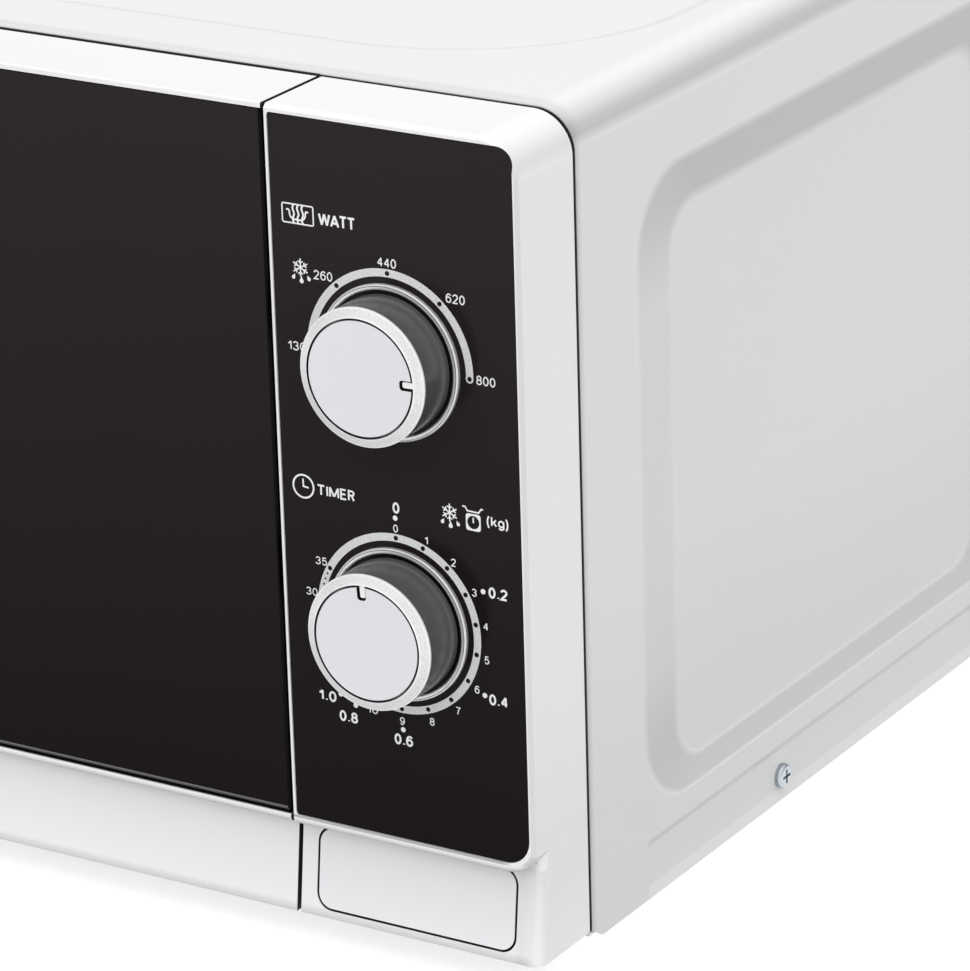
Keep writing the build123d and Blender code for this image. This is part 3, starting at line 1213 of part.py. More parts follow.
def fan_blade():
    """Hub with flat blades set at an angle to the air flow."""
    hub = rod_y(0, 0, FAN_FRONT, FAN_BACK, FAN_HUB_RADIUS)
    middle = (FAN_FRONT + FAN_BACK) / 2
    for step in range(FAN_BLADES):
        length = FAN_RADIUS - FAN_HUB_RADIUS / 2
        blade = Box(FAN_WIDTH * 1.2, FAN_PLATE * 0.75, length)
        blade = Pos(0, middle, FAN_RADIUS - length / 2 - 1) * Rot(0, 0, 35) * blade
        hub += Rot(0, 360 / FAN_BLADES * step, 0) * blade
    hub &= rod_y(0, 0, FAN_FRONT, FAN_BACK, FAN_RADIUS)
    hub -= rod_y(0, 0, FAN_FRONT - 1, FAN_BACK + 1, FAN_SHAFT_RADIUS + PRESS_CLEARANCE)
    return Pos(COMPARTMENT_MID, 0, FAN_Z) * hub


def lamp_holder():
    depth = LAMP_RADIUS * 2.4
    half = LAMP_RADIUS + SHEET
    end = COMPARTMENT_X + depth
    holder = block(COMPARTMENT_X, end, LAMP_Y - half, LAMP_Y + half, LAMP_Z - half, LAMP_Z + half)
    return holder - rod_x(LAMP_Y, LAMP_Z, COMPARTMENT_X - 1, end - SHEET, LAMP_RADIUS)


def lamp_bulb():
    base = COMPARTMENT_X + LAMP_RADIUS * 2.4 - SHEET
    glass_radius = LAMP_RADIUS * 0.7
    bulb = rod_x(LAMP_Y, LAMP_Z, base - LAMP_RADIUS, base, LAMP_RADIUS * 0.5)
    return bulb + Pos(base - LAMP_RADIUS, LAMP_Y, LAMP_Z) * Rot(0, 90, 0) * Sphere(glass_radius)


def thermal_cutouts():
    ceiling = CAVITY_TOP + SHEET
    on_ceiling = rod_z(TRAY_X, TRAY_Y, ceiling, ceiling + CUTOUT_HEIGHT, CUTOUT_RADIUS)
    top = MAGNETRON_Z + MAGNETRON_SIZE[2]
    x = MAGNETRON_X + MAGNETRON_SIZE[0] / 2
    on_yoke = rod_z(x, MAGNETRON_Y + 2 * CUTOUT_RADIUS, top, top + CUTOUT_HEIGHT, CUTOUT_RADIUS)
    return [on_ceiling, on_yoke]


def filter_board():
    """Mains filter board on two rails, with its choke coil and fuse holder."""
    width, thick, height = BOARD_SIZE
    x0 = COMPARTMENT_X + FAN_CLEARANCE
    z1 = BOARD_TOP_EDGE
    z0 = z1 - height
    back = REAR_INNER - FAN_CLEARANCE * 2
    board = block(x0, x0 + width, back - thick, back, z0, z1)
    for z in (z0, z1 - SHEET * 3):
        board += block(x0, x0 + width / 2, back, REAR_INNER, z, z + SHEET * 3)
    face = back - thick
    board += rod_y(x0 + width / 4, (z0 + z1) / 2, face - height / 3, face, height / 4)
    return board + block(x0 + width / 2, x0 + width - 4, face - height / 5, face, z0 + 4, z0 + 12)


def cord_gland():
    ring = rod_y(GLAND_X, GLAND_Z, REAR_INNER - SHEET, REAR_FACE, GLAND_RADIUS - SHEET - FIT_GAP)
    ring += rod_y(GLAND_X, GLAND_Z, REAR_FACE, COVER_BACK + SPACER_REACH / 2, GLAND_RADIUS)
    return ring - rod_y(GLAND_X, GLAND_Z, REAR_INNER - 9, COVER_BACK + 9, GLAND_BORE)


# Screws


def pan_screw():
    """Pan-head screw with a cross recess; the head's seat is at z = 0 and the shank points down."""
    head = Pos(0, 0, SCREW_HEAD_HEIGHT / 2) * Cylinder(SCREW_HEAD_RADIUS, SCREW_HEAD_HEIGHT)
    head = fillet(head.edges().group_by(Axis.Z)[-1], SCREW_HEAD_HEIGHT * 0.6)
    screw = head + rod_z(0, 0, -SCREW_LENGTH, 0, SCREW_RADIUS)
    reach = SCREW_HEAD_RADIUS * 0.6
    half = SCREW_CROSS / 2
    depth = SCREW_HEAD_HEIGHT * 0.6
    for x, y in ((reach, half), (half, reach)):
        screw -= block(-x, x, -y, y, depth, SCREW_HEAD_HEIGHT + 1)
    return screw


def cover_screws():
    seat = HALF_WIDTH - STRIP_DEPTH
    group = []
    for y, z in side_screw_places():
        group.append(Pos(seat, y, z) * Rot(0, 90, 0) * pan_screw())
        group.append(Pos(-seat, y, z) * Rot(0, -90, 0) * pan_screw())
    for x, z in rear_screw_places():
        group.append(Pos(x, COVER_BACK, z) * Rot(-90, 0, 0) * pan_screw())
    return group


KNOBS = {
    "power": (POWER_Z, POWER_STANDOFF, POWER_POINTER),
    "timer": (TIMER_Z, TIMER_STANDOFF, TIMER_POINTER),
}

PIECES = {
    piece.__name__: piece
    for piece in (
        outer_cover, base_plate, feet, rear_panel, front_frame,
        cavity_floor, cavity_ceiling, cavity_left_wall, cavity_right_wall, cavity_back_wall,
        control_fascia, panel_overlay, dial_bezels, timer_unit,
        release_button, button_spring, release_lever,
        latch_board, interlock_switches, door_frame, door_panel, door_screen, choke_cover, window_film,
        hinge_pins, door_hinges, door_latch, latch_spring,
        turntable_motor, turntable_coupler, glass_tray, roller_ring,
        waveguide, waveguide_cover, magnetron, transformer_core, transformer_windings,
        capacitor, rectifier_diode, fan_shroud, fan_motor, fan_shaft, fan_blade,
        lamp_holder, lamp_bulb, thermal_cutouts, filter_board, cord_gland, cover_screws,
    )
}


def write_piece(name, shape):
    if isinstance(shape, list):
        shape = Compound(children=shape)
    export_step(shape, f"parts/{name}.step")


def main():
    os.makedirs("parts", exist_ok=True)
    for name, make in PIECES.items():
        write_piece(name, make())
    for name, (z, standoff, angle) in KNOBS.items():
        write_piece(f"{name}_knob", knob_body(z, standoff))
        write_piece(f"{name}_knob_trim", knob_trim(z, standoff, angle))
        write_piece(f"{name}_knob_cap", knob_cap(z, standoff, angle))
        write_piece(f"{name}_shaft", knob_shaft(z, standoff))
    for number, angle in enumerate((0, 120, 240), start=1):
        write_piece(f"roller_{number}", roller(angle))


main()
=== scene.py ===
import math

import bmesh
import bpy
from mathutils import Matrix, Vector


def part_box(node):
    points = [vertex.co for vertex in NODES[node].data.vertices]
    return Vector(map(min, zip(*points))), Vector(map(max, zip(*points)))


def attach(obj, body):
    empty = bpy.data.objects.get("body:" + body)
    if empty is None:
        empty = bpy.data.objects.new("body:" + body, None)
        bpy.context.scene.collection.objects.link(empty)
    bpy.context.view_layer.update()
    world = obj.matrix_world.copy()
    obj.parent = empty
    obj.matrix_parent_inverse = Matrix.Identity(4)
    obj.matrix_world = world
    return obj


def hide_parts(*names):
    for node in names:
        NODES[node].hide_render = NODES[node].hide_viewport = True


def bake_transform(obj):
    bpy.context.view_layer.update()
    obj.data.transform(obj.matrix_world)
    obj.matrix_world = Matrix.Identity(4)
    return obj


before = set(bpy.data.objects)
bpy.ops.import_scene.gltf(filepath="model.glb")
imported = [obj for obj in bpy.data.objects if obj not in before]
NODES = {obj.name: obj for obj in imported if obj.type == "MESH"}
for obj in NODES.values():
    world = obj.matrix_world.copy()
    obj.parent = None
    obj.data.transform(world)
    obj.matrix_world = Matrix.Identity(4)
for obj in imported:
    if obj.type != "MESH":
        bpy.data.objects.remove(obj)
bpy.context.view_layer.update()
MM = 0.001

# Where the main surfaces are, read from the frame, in metres
FASCIA_LOW, FASCIA_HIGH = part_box("control_fascia")
OVERLAY_LOW, OVERLAY_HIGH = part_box("panel_overlay")
COVER_LOW, COVER_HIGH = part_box("outer_cover")
DOOR_LOW, DOOR_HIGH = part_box("door_frame")
BUTTON_LOW, BUTTON_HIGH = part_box("release_button")
RIGHT = FASCIA_HIGH.x
PANEL_Y = FASCIA_LOW.y
BASE_Z = FASCIA_LOW.z

# Sizes of the front that the boxes don't give
FASCIA_DEPTH = 29.4 * MM
FASCIA_HEIGHT = 245 * MM
LEDGE_HEIGHT = 28.6 * MM
LOWER_BOTTOM_DEPTH = 1.6 * MM
LOWER_LEAN = 3.4 * MM
DOOR_BEVEL_HEIGHT = 33.5 * MM
DOOR_GROOVE_LOW = 31.0 * MM
DOOR_GROOVE_HIGH = 32.15 * MM
DOOR_GROOVE_DEPTH = 1.4 * MM
EDGE_RADIUS = 12.0 * MM
BUTTON_GAP = 0.87 * MM
JOINT_DEPTH = 0.2 * MM

# Rings on the knobs and bezels
KNOB_GROOVE_RADIUS = 17.35 * MM
KNOB_RIM_MIDDLE = 18.8 * MM
KNOB_GROOVE_DEPTH = 0.15 * MM
BEZEL_LINE_RADIUS = 22.25 * MM

# Slack by which a mask tells one face from the next
FLANK_SLACK = 0.2 * MM
FACE_SLACK = 0.05 * MM
FINE_SLACK = 0.03 * MM

# Places that follow from these sizes
FASCIA_BACK = PANEL_Y + FASCIA_DEPTH
LEDGE_Z = BASE_Z + LEDGE_HEIGHT
LOWER_SLOPE = LOWER_LEAN / LEDGE_HEIGHT
FLANK_X = RIGHT - FLANK_SLACK


def spot(dx, dz):
    """Place on the panel, in millimetres from the cabinet's right side and the fascia's bottom."""
    return RIGHT + dx * MM, BASE_Z + dz * MM


def around(centre, angle, radius):
    """Place at a clock angle round a centre."""
    turn = math.radians(angle)
    return centre[0] + radius * math.sin(turn), centre[1] + radius * math.cos(turn)


def shifted(centre, dx, dz):
    """Place a few millimetres from a centre."""
    return centre[0] + dx * MM, centre[1] + dz * MM


# The two dials, and the silver rings printed round them
DIAL_COLUMN = -42.8
POWER_DIAL = spot(DIAL_COLUMN, 175.7)
TIMER_DIAL = spot(DIAL_COLUMN, 98.0)
RING_INNER = 24.73 * MM
RING_OUTER = 27.06 * MM
RING_ENDS = (-90, 91.6)
RING_END_RADIUS = 1.25 * MM


# Shader tools


class Flow:
    """The value of a node's socket, used in arithmetic."""

    def __init__(self, wiring, socket):
        self.wiring = wiring
        self.socket = socket

    def math(self, operation, first, second=0.0):
        return self.wiring.node("ShaderNodeMath", {"operation": operation}, {0: first, 1: second})

    def __add__(self, other):
        return self.math("ADD", self, other)

    def __sub__(self, other):
        return self.math("SUBTRACT", self, other)

    def __rsub__(self, other):
        return self.math("SUBTRACT", other, self)

    def __mul__(self, other):
        return self.math("MULTIPLY", self, other)

    def __gt__(self, other):
        return self.math("GREATER_THAN", self, other)

    def __lt__(self, other):
        return self.math("LESS_THAN", self, other)

    def __abs__(self):
        return self.math("ABSOLUTE", self)

    def most(self, other):
        return self.math("MAXIMUM", self, other)

    def least(self, other):
        return self.math("MINIMUM", self, other)

    def sine(self):
        return self.math("SINE", self)

    def cosine(self):
        return self.math("COSINE", self)

    def root(self):
        return self.math("SQRT", self)

    __radd__ = __add__
    __rmul__ = __mul__


class Wiring:
    """A node tree that is built in code."""

    def __init__(self, tree):
        self.tree = tree

    def node(self, kind, settings=None, inputs=None, output=0):
        made = self.tree.nodes.new(kind)
        for key, value in (settings or {}).items():
            setattr(made, key, value)
        for key, value in (inputs or {}).items():
            self.feed(made.inputs[key], value)
        return Flow(self, made.outputs[output])

    def feed(self, socket, value):
        if isinstance(value, Flow):
            self.tree.links.new(value.socket, socket)
        elif socket.type == "RGBA":
            socket.default_value = (*value, 1.0)
        else:
            socket.default_value = value


class Paint(Wiring):
    """A material with one Principled shader; fixed values go on the shader's own sockets."""

    def __init__(self, name, **fixed):
        self.material = bpy.data.materials.new(name)
        self.material.use_nodes = True
        super().__init__(self.material.node_tree)
        self.shader = self.tree.nodes["Principled BSDF"]
        self.set(**fixed)
        self.coords = self.node("ShaderNodeTexCoord", output="Object")

    def axes(self):
        split = self.node("ShaderNodeSeparateXYZ", inputs={0: self.coords}).socket.node
        return [Flow(self, socket) for socket in split.outputs]

    def noise(self, scale, detail=2.0, stretch=None):
        place = self.coords
        if stretch:
            place = self.node("ShaderNodeMapping", inputs={"Vector": place, "Scale": stretch})
        return self.node("ShaderNodeTexNoise", inputs={"Vector": place, "Scale": scale, "Detail": detail})

    def blend(self, mask, low, high):
        """Colour between two colours."""
        return self.node("ShaderNodeMix", {"data_type": "RGBA"}, {0: mask, 6: low, 7: high}, output=2)

    def ramp(self, value, low, high):
        """Value stretched so that low becomes 0 and high becomes 1, and held beyond."""
        return self.node("ShaderNodeMapRange", inputs={0: value, 1: low, 2: high, 3: 0.0, 4: 1.0})

    def set(self, **inputs):
        for socket, value in inputs.items():
            self.feed(self.shader.inputs[socket.replace("_", " ")], value)
        return self

    def bump(self, height, distance):
        inputs = {"Height": height, "Distance": distance, "Strength": 1.0}
        return self.set(Normal=self.node("ShaderNodeBump", inputs=inputs))


def shade(colour, factor):
    """Colour made lighter or darker."""
    return tuple(min(1.0, part * factor) for part in colour)


def moulded(name, colour, rough, mottle=0.04, cloud=18.0, grain=2200.0, depth=0.02, **fixed):
    """Plastic or paint with a fine grain, faint cloudiness and uneven gloss."""
    paint = Paint(name, **fixed)
    tone = paint.noise(cloud, detail=3.0)
    paint.colour = paint.blend(tone, shade(colour, 1 - mottle), shade(colour, 1 + mottle))
    spread = 0.12
    gloss = paint.noise(60.0) * spread + (rough - spread / 2)
    paint.set(Base_Color=paint.colour, Roughness=gloss)
    return paint.bump(paint.noise(grain, detail=3.0), depth * MM)


def metal(name, colour, rough, stretch=(1.0, 1.0, 1.0), scale=900.0):
    """Bare metal with a rolled grain along one direction."""
    paint = Paint(name, Metallic=1.0)
    grain = paint.noise(scale, 4.0, stretch)
    spread = 0.2
    paint.set(Base_Color=paint.blend(grain, shade(colour, 0.86), shade(colour, 1.1)))
    paint.set(Roughness=grain * spread + (rough - spread / 2))
    return paint.bump(grain, 0.01 * MM)


def zinc_sheet(name, colour, crystal_scale=190.0):
    """Galvanised sheet: large flat crystals with slightly different gloss."""
    paint = Paint(name, Metallic=1.0)
    pattern = {"Vector": paint.coords, "Scale": crystal_scale}
    crystals = paint.node("ShaderNodeTexVoronoi", inputs=pattern, output="Color")
    tone = paint.node("ShaderNodeSeparateColor", inputs={0: crystals})
    fine = paint.noise(700.0, detail=3.0)
    paint.set(Base_Color=paint.blend(tone, shade(colour, 0.9), shade(colour, 1.08)))
    paint.set(Roughness=tone * 0.14 + fine * 0.1 + 0.32)
    return paint.bump(fine, 0.012 * MM)


def striped(name, low, high, axis, pitch, rough, metallic, depth):
    """Layers laid side by side along an axis, such as laminations or wire."""
    paint = Paint(name, Metallic=metallic)
    wave = paint.axes()[axis] * (2 * math.pi / pitch)
    line = wave.sine() * 0.5 + 0.5
    wear = paint.noise(220.0, detail=3.0)
    paint.set(Base_Color=paint.blend(line * 0.7 + wear * 0.3, low, high), Roughness=wear * 0.2 + rough)
    return paint.bump(line + wear * 0.2, depth * MM)


def speckled(name, colour, speck, rough):
    """Enamel with fine darker specks."""
    paint = Paint(name)
    specks = paint.ramp(paint.noise(1500.0, detail=1.0), 0.62, 0.7)
    cloud = paint.noise(25.0, detail=3.0)
    base = paint.blend(cloud, shade(colour, 0.95), shade(colour, 1.04))
    paint.set(Base_Color=paint.blend(specks * 0.6, base, speck), Roughness=cloud * 0.14 + rough)
    return paint.bump(paint.noise(900.0), 0.02 * MM)


def clear(name, tint, rough, ior=1.46):
    """Clear glass or film with faint surface waviness."""
    paint = Paint(name, Transmission_Weight=1.0, IOR=ior)
    haze = paint.noise(30.0)
    paint.set(Base_Color=paint.blend(haze, shade(tint, 0.97), tint), Roughness=haze * 0.03 + rough)
    return paint.bump(paint.noise(80.0), 0.004 * MM)


# White finishes, with painted shade in their joints and gaps and on their rounded edges, bevels, ledges and
# dish walls

WHITE_PAINT = (0.74, 0.74, 0.743)
WHITE_PLASTIC = (0.8, 0.8, 0.803)
BUTTON_WHITE = (0.78, 0.78, 0.8)
# Near-black painted as the shade deep in gaps, joints and grooves
PAINTED_SHADE_BLACK = (0.006, 0.006, 0.007)
WHITE_ROUGH = 0.36
PLASTIC_ROUGH = 0.34
JOINT_ROUGH = 0.6

# How dark the painted soft shades are, as shares of the painted shade black
EDGE_SHADE = 0.12
COVER_EDGE_SHADE = 0.32
COVER_GAP_SHADE = 0.2
COVER_FOOT_SHADE = 0.08
DISH_WALL_SHADE = 0.105
DISH_TOP_SHADE = 0.14
DISH_BOTTOM_SHADE = 0.105
DISH_FLOOR_SHADE = 0.03
LEDGE_SHADE = 0.26
BOTTOM_SHADE = 0.34
PANEL_RIM_SHADE = 0.5
SIDE_BEVEL_SHADE = 0.2
FLANK_SHADE = 0.06
BUTTON_SIDE_SHADE = 0.1


def darkened(paint, mask):
    """Put painted shade on a masked region, dark and dull, as in the shadowed depth of a joint."""
    paint.set(Base_Color=paint.blend(mask, paint.colour, PAINTED_SHADE_BLACK))
    return paint.set(Roughness=mask * JOINT_ROUGH + (1 - mask) * WHITE_ROUGH)


def rounded_shade(paint, low, high):
    """Soft shade where the top rounds over into the sides."""
    x, _, z = paint.axes()
    rise = paint.ramp(z, high.z - EDGE_RADIUS, high.z)
    near_side = abs(x - (low.x + high.x) / 2) > (high.x - low.x) / 2 - EDGE_RADIUS
    begins = paint.ramp(rise, 0.06, 0.32)
    fades = paint.ramp(rise, 0.5, 0.95)
    return begins * (1 - fades) * near_side


def dish_shade(paint):
    """Soft shade on the sloping walls of the dishes pressed into the sides."""
    x, _, z = paint.axes()
    middle = (COVER_LOW + COVER_HIGH) / 2
    sunk = COVER_HIGH.x - middle.x - abs(x - middle.x)
    floor = paint.ramp(sunk, 3.3 * MM, 3.9 * MM)
    wall = paint.ramp(sunk, 0.1 * MM, 0.6 * MM) * (1 - floor)
    bottom_margin, top_margin = 22 * MM, 20 * MM
    inside = (z > COVER_LOW.z + bottom_margin) * (z < COVER_HIGH.z - top_margin)
    turn_starts, turn_ends = 55 * MM, 80 * MM
    top = paint.ramp(z - middle.z, turn_starts, turn_ends) * DISH_TOP_SHADE
    bottom = paint.ramp(middle.z - z, turn_starts, turn_ends) * DISH_BOTTOM_SHADE
    return inside * (wall * (top + bottom + DISH_WALL_SHADE) + floor * DISH_FLOOR_SHADE)


def cover_finish():
    """White paint with painted shade: black where the rounded front edge turns into the gap behind the
    fascia, fading out over that edge, and soft on the rounded top edges, the dish walls and low on the
    sides.
    """
    paint = moulded("cover_white_paint", WHITE_PAINT, WHITE_ROUGH, mottle=0.012, grain=1400.0, depth=0.03,
                    Specular_IOR_Level=0.25)
    x, y, z = paint.axes()
    depth = y - COVER_LOW.y
    flank = paint.ramp(z, COVER_HIGH.z, COVER_HIGH.z - EDGE_RADIUS)
    top = 1 - flank
    flank_gap, door_gap = 0.5 * MM, 0.1 * MM
    reach = flank * flank_gap + top * (x < DOOR_HIGH.x) * door_gap
    # Painted shade: black deep in the gap, then a soft painted shade fading out over the rounded front edge
    core = 1 - paint.ramp(depth - reach, 0.15 * MM, 0.4 * MM)
    fade_starts, flank_fade_ends, top_fade_ends = 0.7 * MM, 2.8 * MM, 6 * MM
    soft = (1 - paint.ramp(depth, fade_starts, flank_fade_ends)) * flank
    soft = soft + (1 - paint.ramp(depth, fade_starts, top_fade_ends)) * top
    # Painted shade growing towards the bottom of the sides, and on the rounded top edges and dish walls
    foot = paint.ramp(z, COVER_LOW.z + 110 * MM, COVER_LOW.z + 40 * MM) * COVER_FOOT_SHADE
    edges = rounded_shade(paint, COVER_LOW, COVER_HIGH) * COVER_EDGE_SHADE + dish_shade(paint)
    return darkened(paint, core.most(soft * COVER_GAP_SHADE + edges + foot))


def lower_depth(paint):
    """Depth behind the slanting lower face."""
    _, y, z = paint.axes()
    return y - PANEL_Y - LOWER_BOTTOM_DEPTH - (z - BASE_Z) * LOWER_SLOPE


def under_ledge(paint, colour):
    """Painted shade that deepens the colour a little from the bottom up to the ledge."""
    x, _, z = paint.axes()
    rise = paint.ramp(z, BASE_Z, LEDGE_Z) * (z < LEDGE_Z) * (x < FLANK_X)
    paint.colour = paint.blend(rise, paint.colour, shade(colour, 0.85))


def lip_shade(paint):
    """Soft shade where the ledge rounds under and where the bottom edge turns in."""
    x, _, z = paint.axes()
    lip_starts, lip_ends = LEDGE_Z + 2.4 * MM, LEDGE_Z + 0.3 * MM
    ledge = paint.ramp(z, lip_starts, lip_ends) * (z > LEDGE_Z - FACE_SLACK) * LEDGE_SHADE
    bottom = paint.ramp(z, BASE_Z + 3 * MM, BASE_Z) * BOTTOM_SHADE
    return (ledge + bottom) * paint.ramp(x, RIGHT - 1 * MM, RIGHT - 5 * MM)


def button_joint(paint):
    """Painted shade in the joint round the release button, down behind the lower face."""
    x, _, z = paint.axes()
    middle = (BUTTON_LOW + BUTTON_HIGH) / 2
    half = (BUTTON_HIGH - BUTTON_LOW) / 2
    outside = (abs(x - middle.x) - half.x).most(abs(z - middle.z) - half.z)
    return (outside < BUTTON_GAP) * (lower_depth(paint) > JOINT_DEPTH) * (z < LEDGE_Z)


def panel_rim(paint):
    """The narrow shaded edge under the black panel, which ends before the panel's round corner."""
    x, y, z = paint.axes()
    width, front_depth = 0.9 * MM, 0.3 * MM
    fade_starts, fade_ends = OVERLAY_HIGH.x - 9 * MM, OVERLAY_HIGH.x - 6 * MM
    edge = (y < PANEL_Y + front_depth) * (z > OVERLAY_LOW.z - width) * (z < OVERLAY_LOW.z)
    return edge * (1 - paint.ramp(x, fade_starts, fade_ends)) * PANEL_RIM_SHADE


def side_bevel(paint):
    """The shaded bevel between the fascia's front and its side, which fades out at the top."""
    x, y, z = paint.axes()
    starts, ends = PANEL_Y + FINE_SLACK, PANEL_Y + 1.12 * MM
    bevel = (y > starts) * (y < ends) * (x > RIGHT - EDGE_RADIUS) * (z > OVERLAY_LOW.z)
    fades = paint.ramp(z, FASCIA_HIGH.z - 1 * MM, FASCIA_HIGH.z - 5 * MM)
    return bevel * fades * SIDE_BEVEL_SHADE


def lower_flank(paint):
    """Soft shade low on the fascia's side."""
    x, _, z = paint.axes()
    fades = paint.ramp(z, BASE_Z + 85 * MM, BASE_Z + 40 * MM)
    begins = paint.ramp(z, BASE_Z, BASE_Z + 22 * MM)
    return fades * begins * (x > FLANK_X) * FLANK_SHADE


def button_side(paint):
    """Soft shade between the button and the fascia's rounded side."""
    x, _, z = paint.axes()
    begins = paint.ramp(x, BUTTON_HIGH.x, BUTTON_HIGH.x + 2 * MM)
    fades = paint.ramp(x, RIGHT - 2 * MM, RIGHT - 8 * MM)
    return begins * fades * (z < LEDGE_Z) * BUTTON_SIDE_SHADE


def fascia_finish():
    """White plastic with painted shade: black in the joint round the button and on the back edge, soft on
    its bevels, rim, ledge and lower side.
    """
    paint = moulded("fascia_white_plastic", WHITE_PLASTIC, PLASTIC_ROUGH, mottle=0.01)
    under_ledge(paint, WHITE_PLASTIC)
    x, y, _ = paint.axes()
    # The back edge is painted black as the shade in the gap before the cover
    back_face_shade = y > FASCIA_BACK - FINE_SLACK
    edge = rounded_shade(paint, FASCIA_LOW, FASCIA_HIGH) * (x > RIGHT - EDGE_RADIUS) * EDGE_SHADE
    soft = lip_shade(paint) + edge + lower_flank(paint) + button_side(paint)
    dark = button_joint(paint).most(back_face_shade).most(panel_rim(paint)).most(side_bevel(paint))
    return darkened(paint, dark.most(soft))


def button_finish():
    """White plastic with painted shade: black on its edges down in the joint, and deepening a little up to
    the ledge.
    """
    paint = moulded("button_white_plastic", BUTTON_WHITE, PLASTIC_ROUGH, mottle=0.01)
    under_ledge(paint, BUTTON_WHITE)
    return darkened(paint, lower_depth(paint) > JOINT_DEPTH)


def door_frame_finish():
    """White plastic with painted shade: black in the groove under the panel and along the edges of the
    joints round the door, soft under the ledge and on the rounded edge.
    """
    paint = moulded("door_white_plastic", WHITE_PLASTIC, PLASTIC_ROUGH, mottle=0.01)
    under_ledge(paint, WHITE_PLASTIC)
    x, y, z = paint.axes()
    # Painted shade: black deep in the groove under the panel and on the end and back faces in the gaps round
    # the door
    groove = (z > BASE_Z + DOOR_GROOVE_LOW) * (z < BASE_Z + DOOR_GROOVE_HIGH)
    groove = groove * (y > PANEL_Y + DOOR_GROOVE_DEPTH)
    top_band, front_band, lower_band = 2.5 * MM, 5 * MM, 4 * MM
    upper = z > DOOR_HIGH.z - top_band
    outer = (y < DOOR_LOW.y + front_band).most((lower_depth(paint) < lower_band) * (z < LEDGE_Z))
    end_gap_shade = (x > DOOR_HIGH.x - FACE_SLACK) * outer.most(upper)
    back_gap_shade = (y > DOOR_HIGH.y - FACE_SLACK) * upper
    edge = rounded_shade(paint, DOOR_LOW, DOOR_HIGH) * (x < DOOR_LOW.x + EDGE_RADIUS) * EDGE_SHADE
    return darkened(paint, groove.most(end_gap_shade).most(back_gap_shade).most(edge + lip_shade(paint)))


# Black, silver and bright finishes, with painted sheen, highlights and shade

# The black at the bottom and at the top: a painted reflection that grows lighter upwards
PANEL_BLACK_SHADED_BOTTOM = (0.0026, 0.0006, 0.0011)
PANEL_BLACK_SHEEN_TOP = (0.0207, 0.0155, 0.0175)
# A painted highlight on the door panel's lower bevel
BEVEL_PAINTED_HIGHLIGHT = (0.17, 0.165, 0.167)
# Painted shade at the door panel's end, in the gap by the fascia
END_PAINTED_SHADE = (0.0, 0.0, 0.0)


def gloss_black(name, bevel_z=None, end_x=None):
    """Smooth warm black with a painted reflection that grows lighter towards the top, a painted grey
    highlight on a lower bevel and painted shade blackest at one end.
    """
    paint = Paint(name, Specular_IOR_Level=0.055, IOR=1.45)
    x, _, z = paint.axes()
    height = paint.ramp(z, BASE_Z, BASE_Z + FASCIA_HEIGHT)
    cloud = paint.noise(9.0) * 0.1 - 0.05
    colour = paint.blend(height + cloud, PANEL_BLACK_SHADED_BOTTOM, PANEL_BLACK_SHEEN_TOP)
    # Door panel only: a painted highlight on the lower bevel, and painted shade blackest at the end by the
    # fascia
    if bevel_z:
        colour = paint.blend(z < bevel_z, colour, BEVEL_PAINTED_HIGHLIGHT)
        colour = paint.blend(x > end_x, colour, END_PAINTED_SHADE)
    paint.set(Base_Color=colour, Roughness=paint.noise(40.0, detail=3.0) * 0.06 + 0.1)
    return paint.bump(paint.noise(14.0), 0.01 * MM)


def from_axis(paint, centre):
    """Distance from a dial's axis."""
    x, _, z = paint.axes()
    across = x - centre[0]
    up = z - centre[1]
    return (across * across + up * up).root()


def knob_rim_finish(name, node, centre):
    """Silver paint with a fine sparkle, a painted highlight at its edges, and painted shade black down in
    the groove round the disc.
    """
    paint = Paint(name, Metallic=0.2)
    sparkle = paint.noise(2600.0)
    _, y, _ = paint.axes()
    reach = from_axis(paint, centre)
    # Painted shade black down in the groove round the disc
    groove = abs(reach - KNOB_GROOVE_RADIUS) < 0.06 * MM
    groove = groove * (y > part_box(node)[0].y + KNOB_GROOVE_DEPTH)
    silver = paint.blend(paint.ramp(sparkle, 0.3, 0.7), (0.56, 0.56, 0.565), (0.74, 0.74, 0.745))
    # Painted highlights near the rim's inner and outer edges
    edges = paint.ramp(abs(reach - KNOB_RIM_MIDDLE), 0.8 * MM, 1.3 * MM) * 0.6
    silver = paint.blend(edges, silver, (0.85, 0.85, 0.855))
    paint.set(Base_Color=paint.blend(groove, silver, PAINTED_SHADE_BLACK), Roughness=sparkle * 0.2 + 0.22)
    return paint.bump(sparkle, 0.006 * MM)


def knob_face_finish(name, node, centre):
    """Pale satin disc with faint rings round its axis and a dark edge of painted shade down in the groove.
    """
    paint = Paint(name, Metallic=0.25)
    _, y, _ = paint.axes()
    rings = (from_axis(paint, centre) * 9000.0).sine() * 0.5 + 0.5
    cloud = paint.noise(30.0)
    pale = paint.blend(cloud, (0.59, 0.59, 0.62), (0.635, 0.635, 0.665))
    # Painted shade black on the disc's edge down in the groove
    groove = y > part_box(node)[0].y + KNOB_GROOVE_DEPTH
    gloss = rings * 0.04 + cloud * 0.08 + 0.3
    paint.set(Base_Color=paint.blend(groove, pale, PAINTED_SHADE_BLACK), Roughness=gloss)
    return paint.bump(rings, 0.003 * MM)


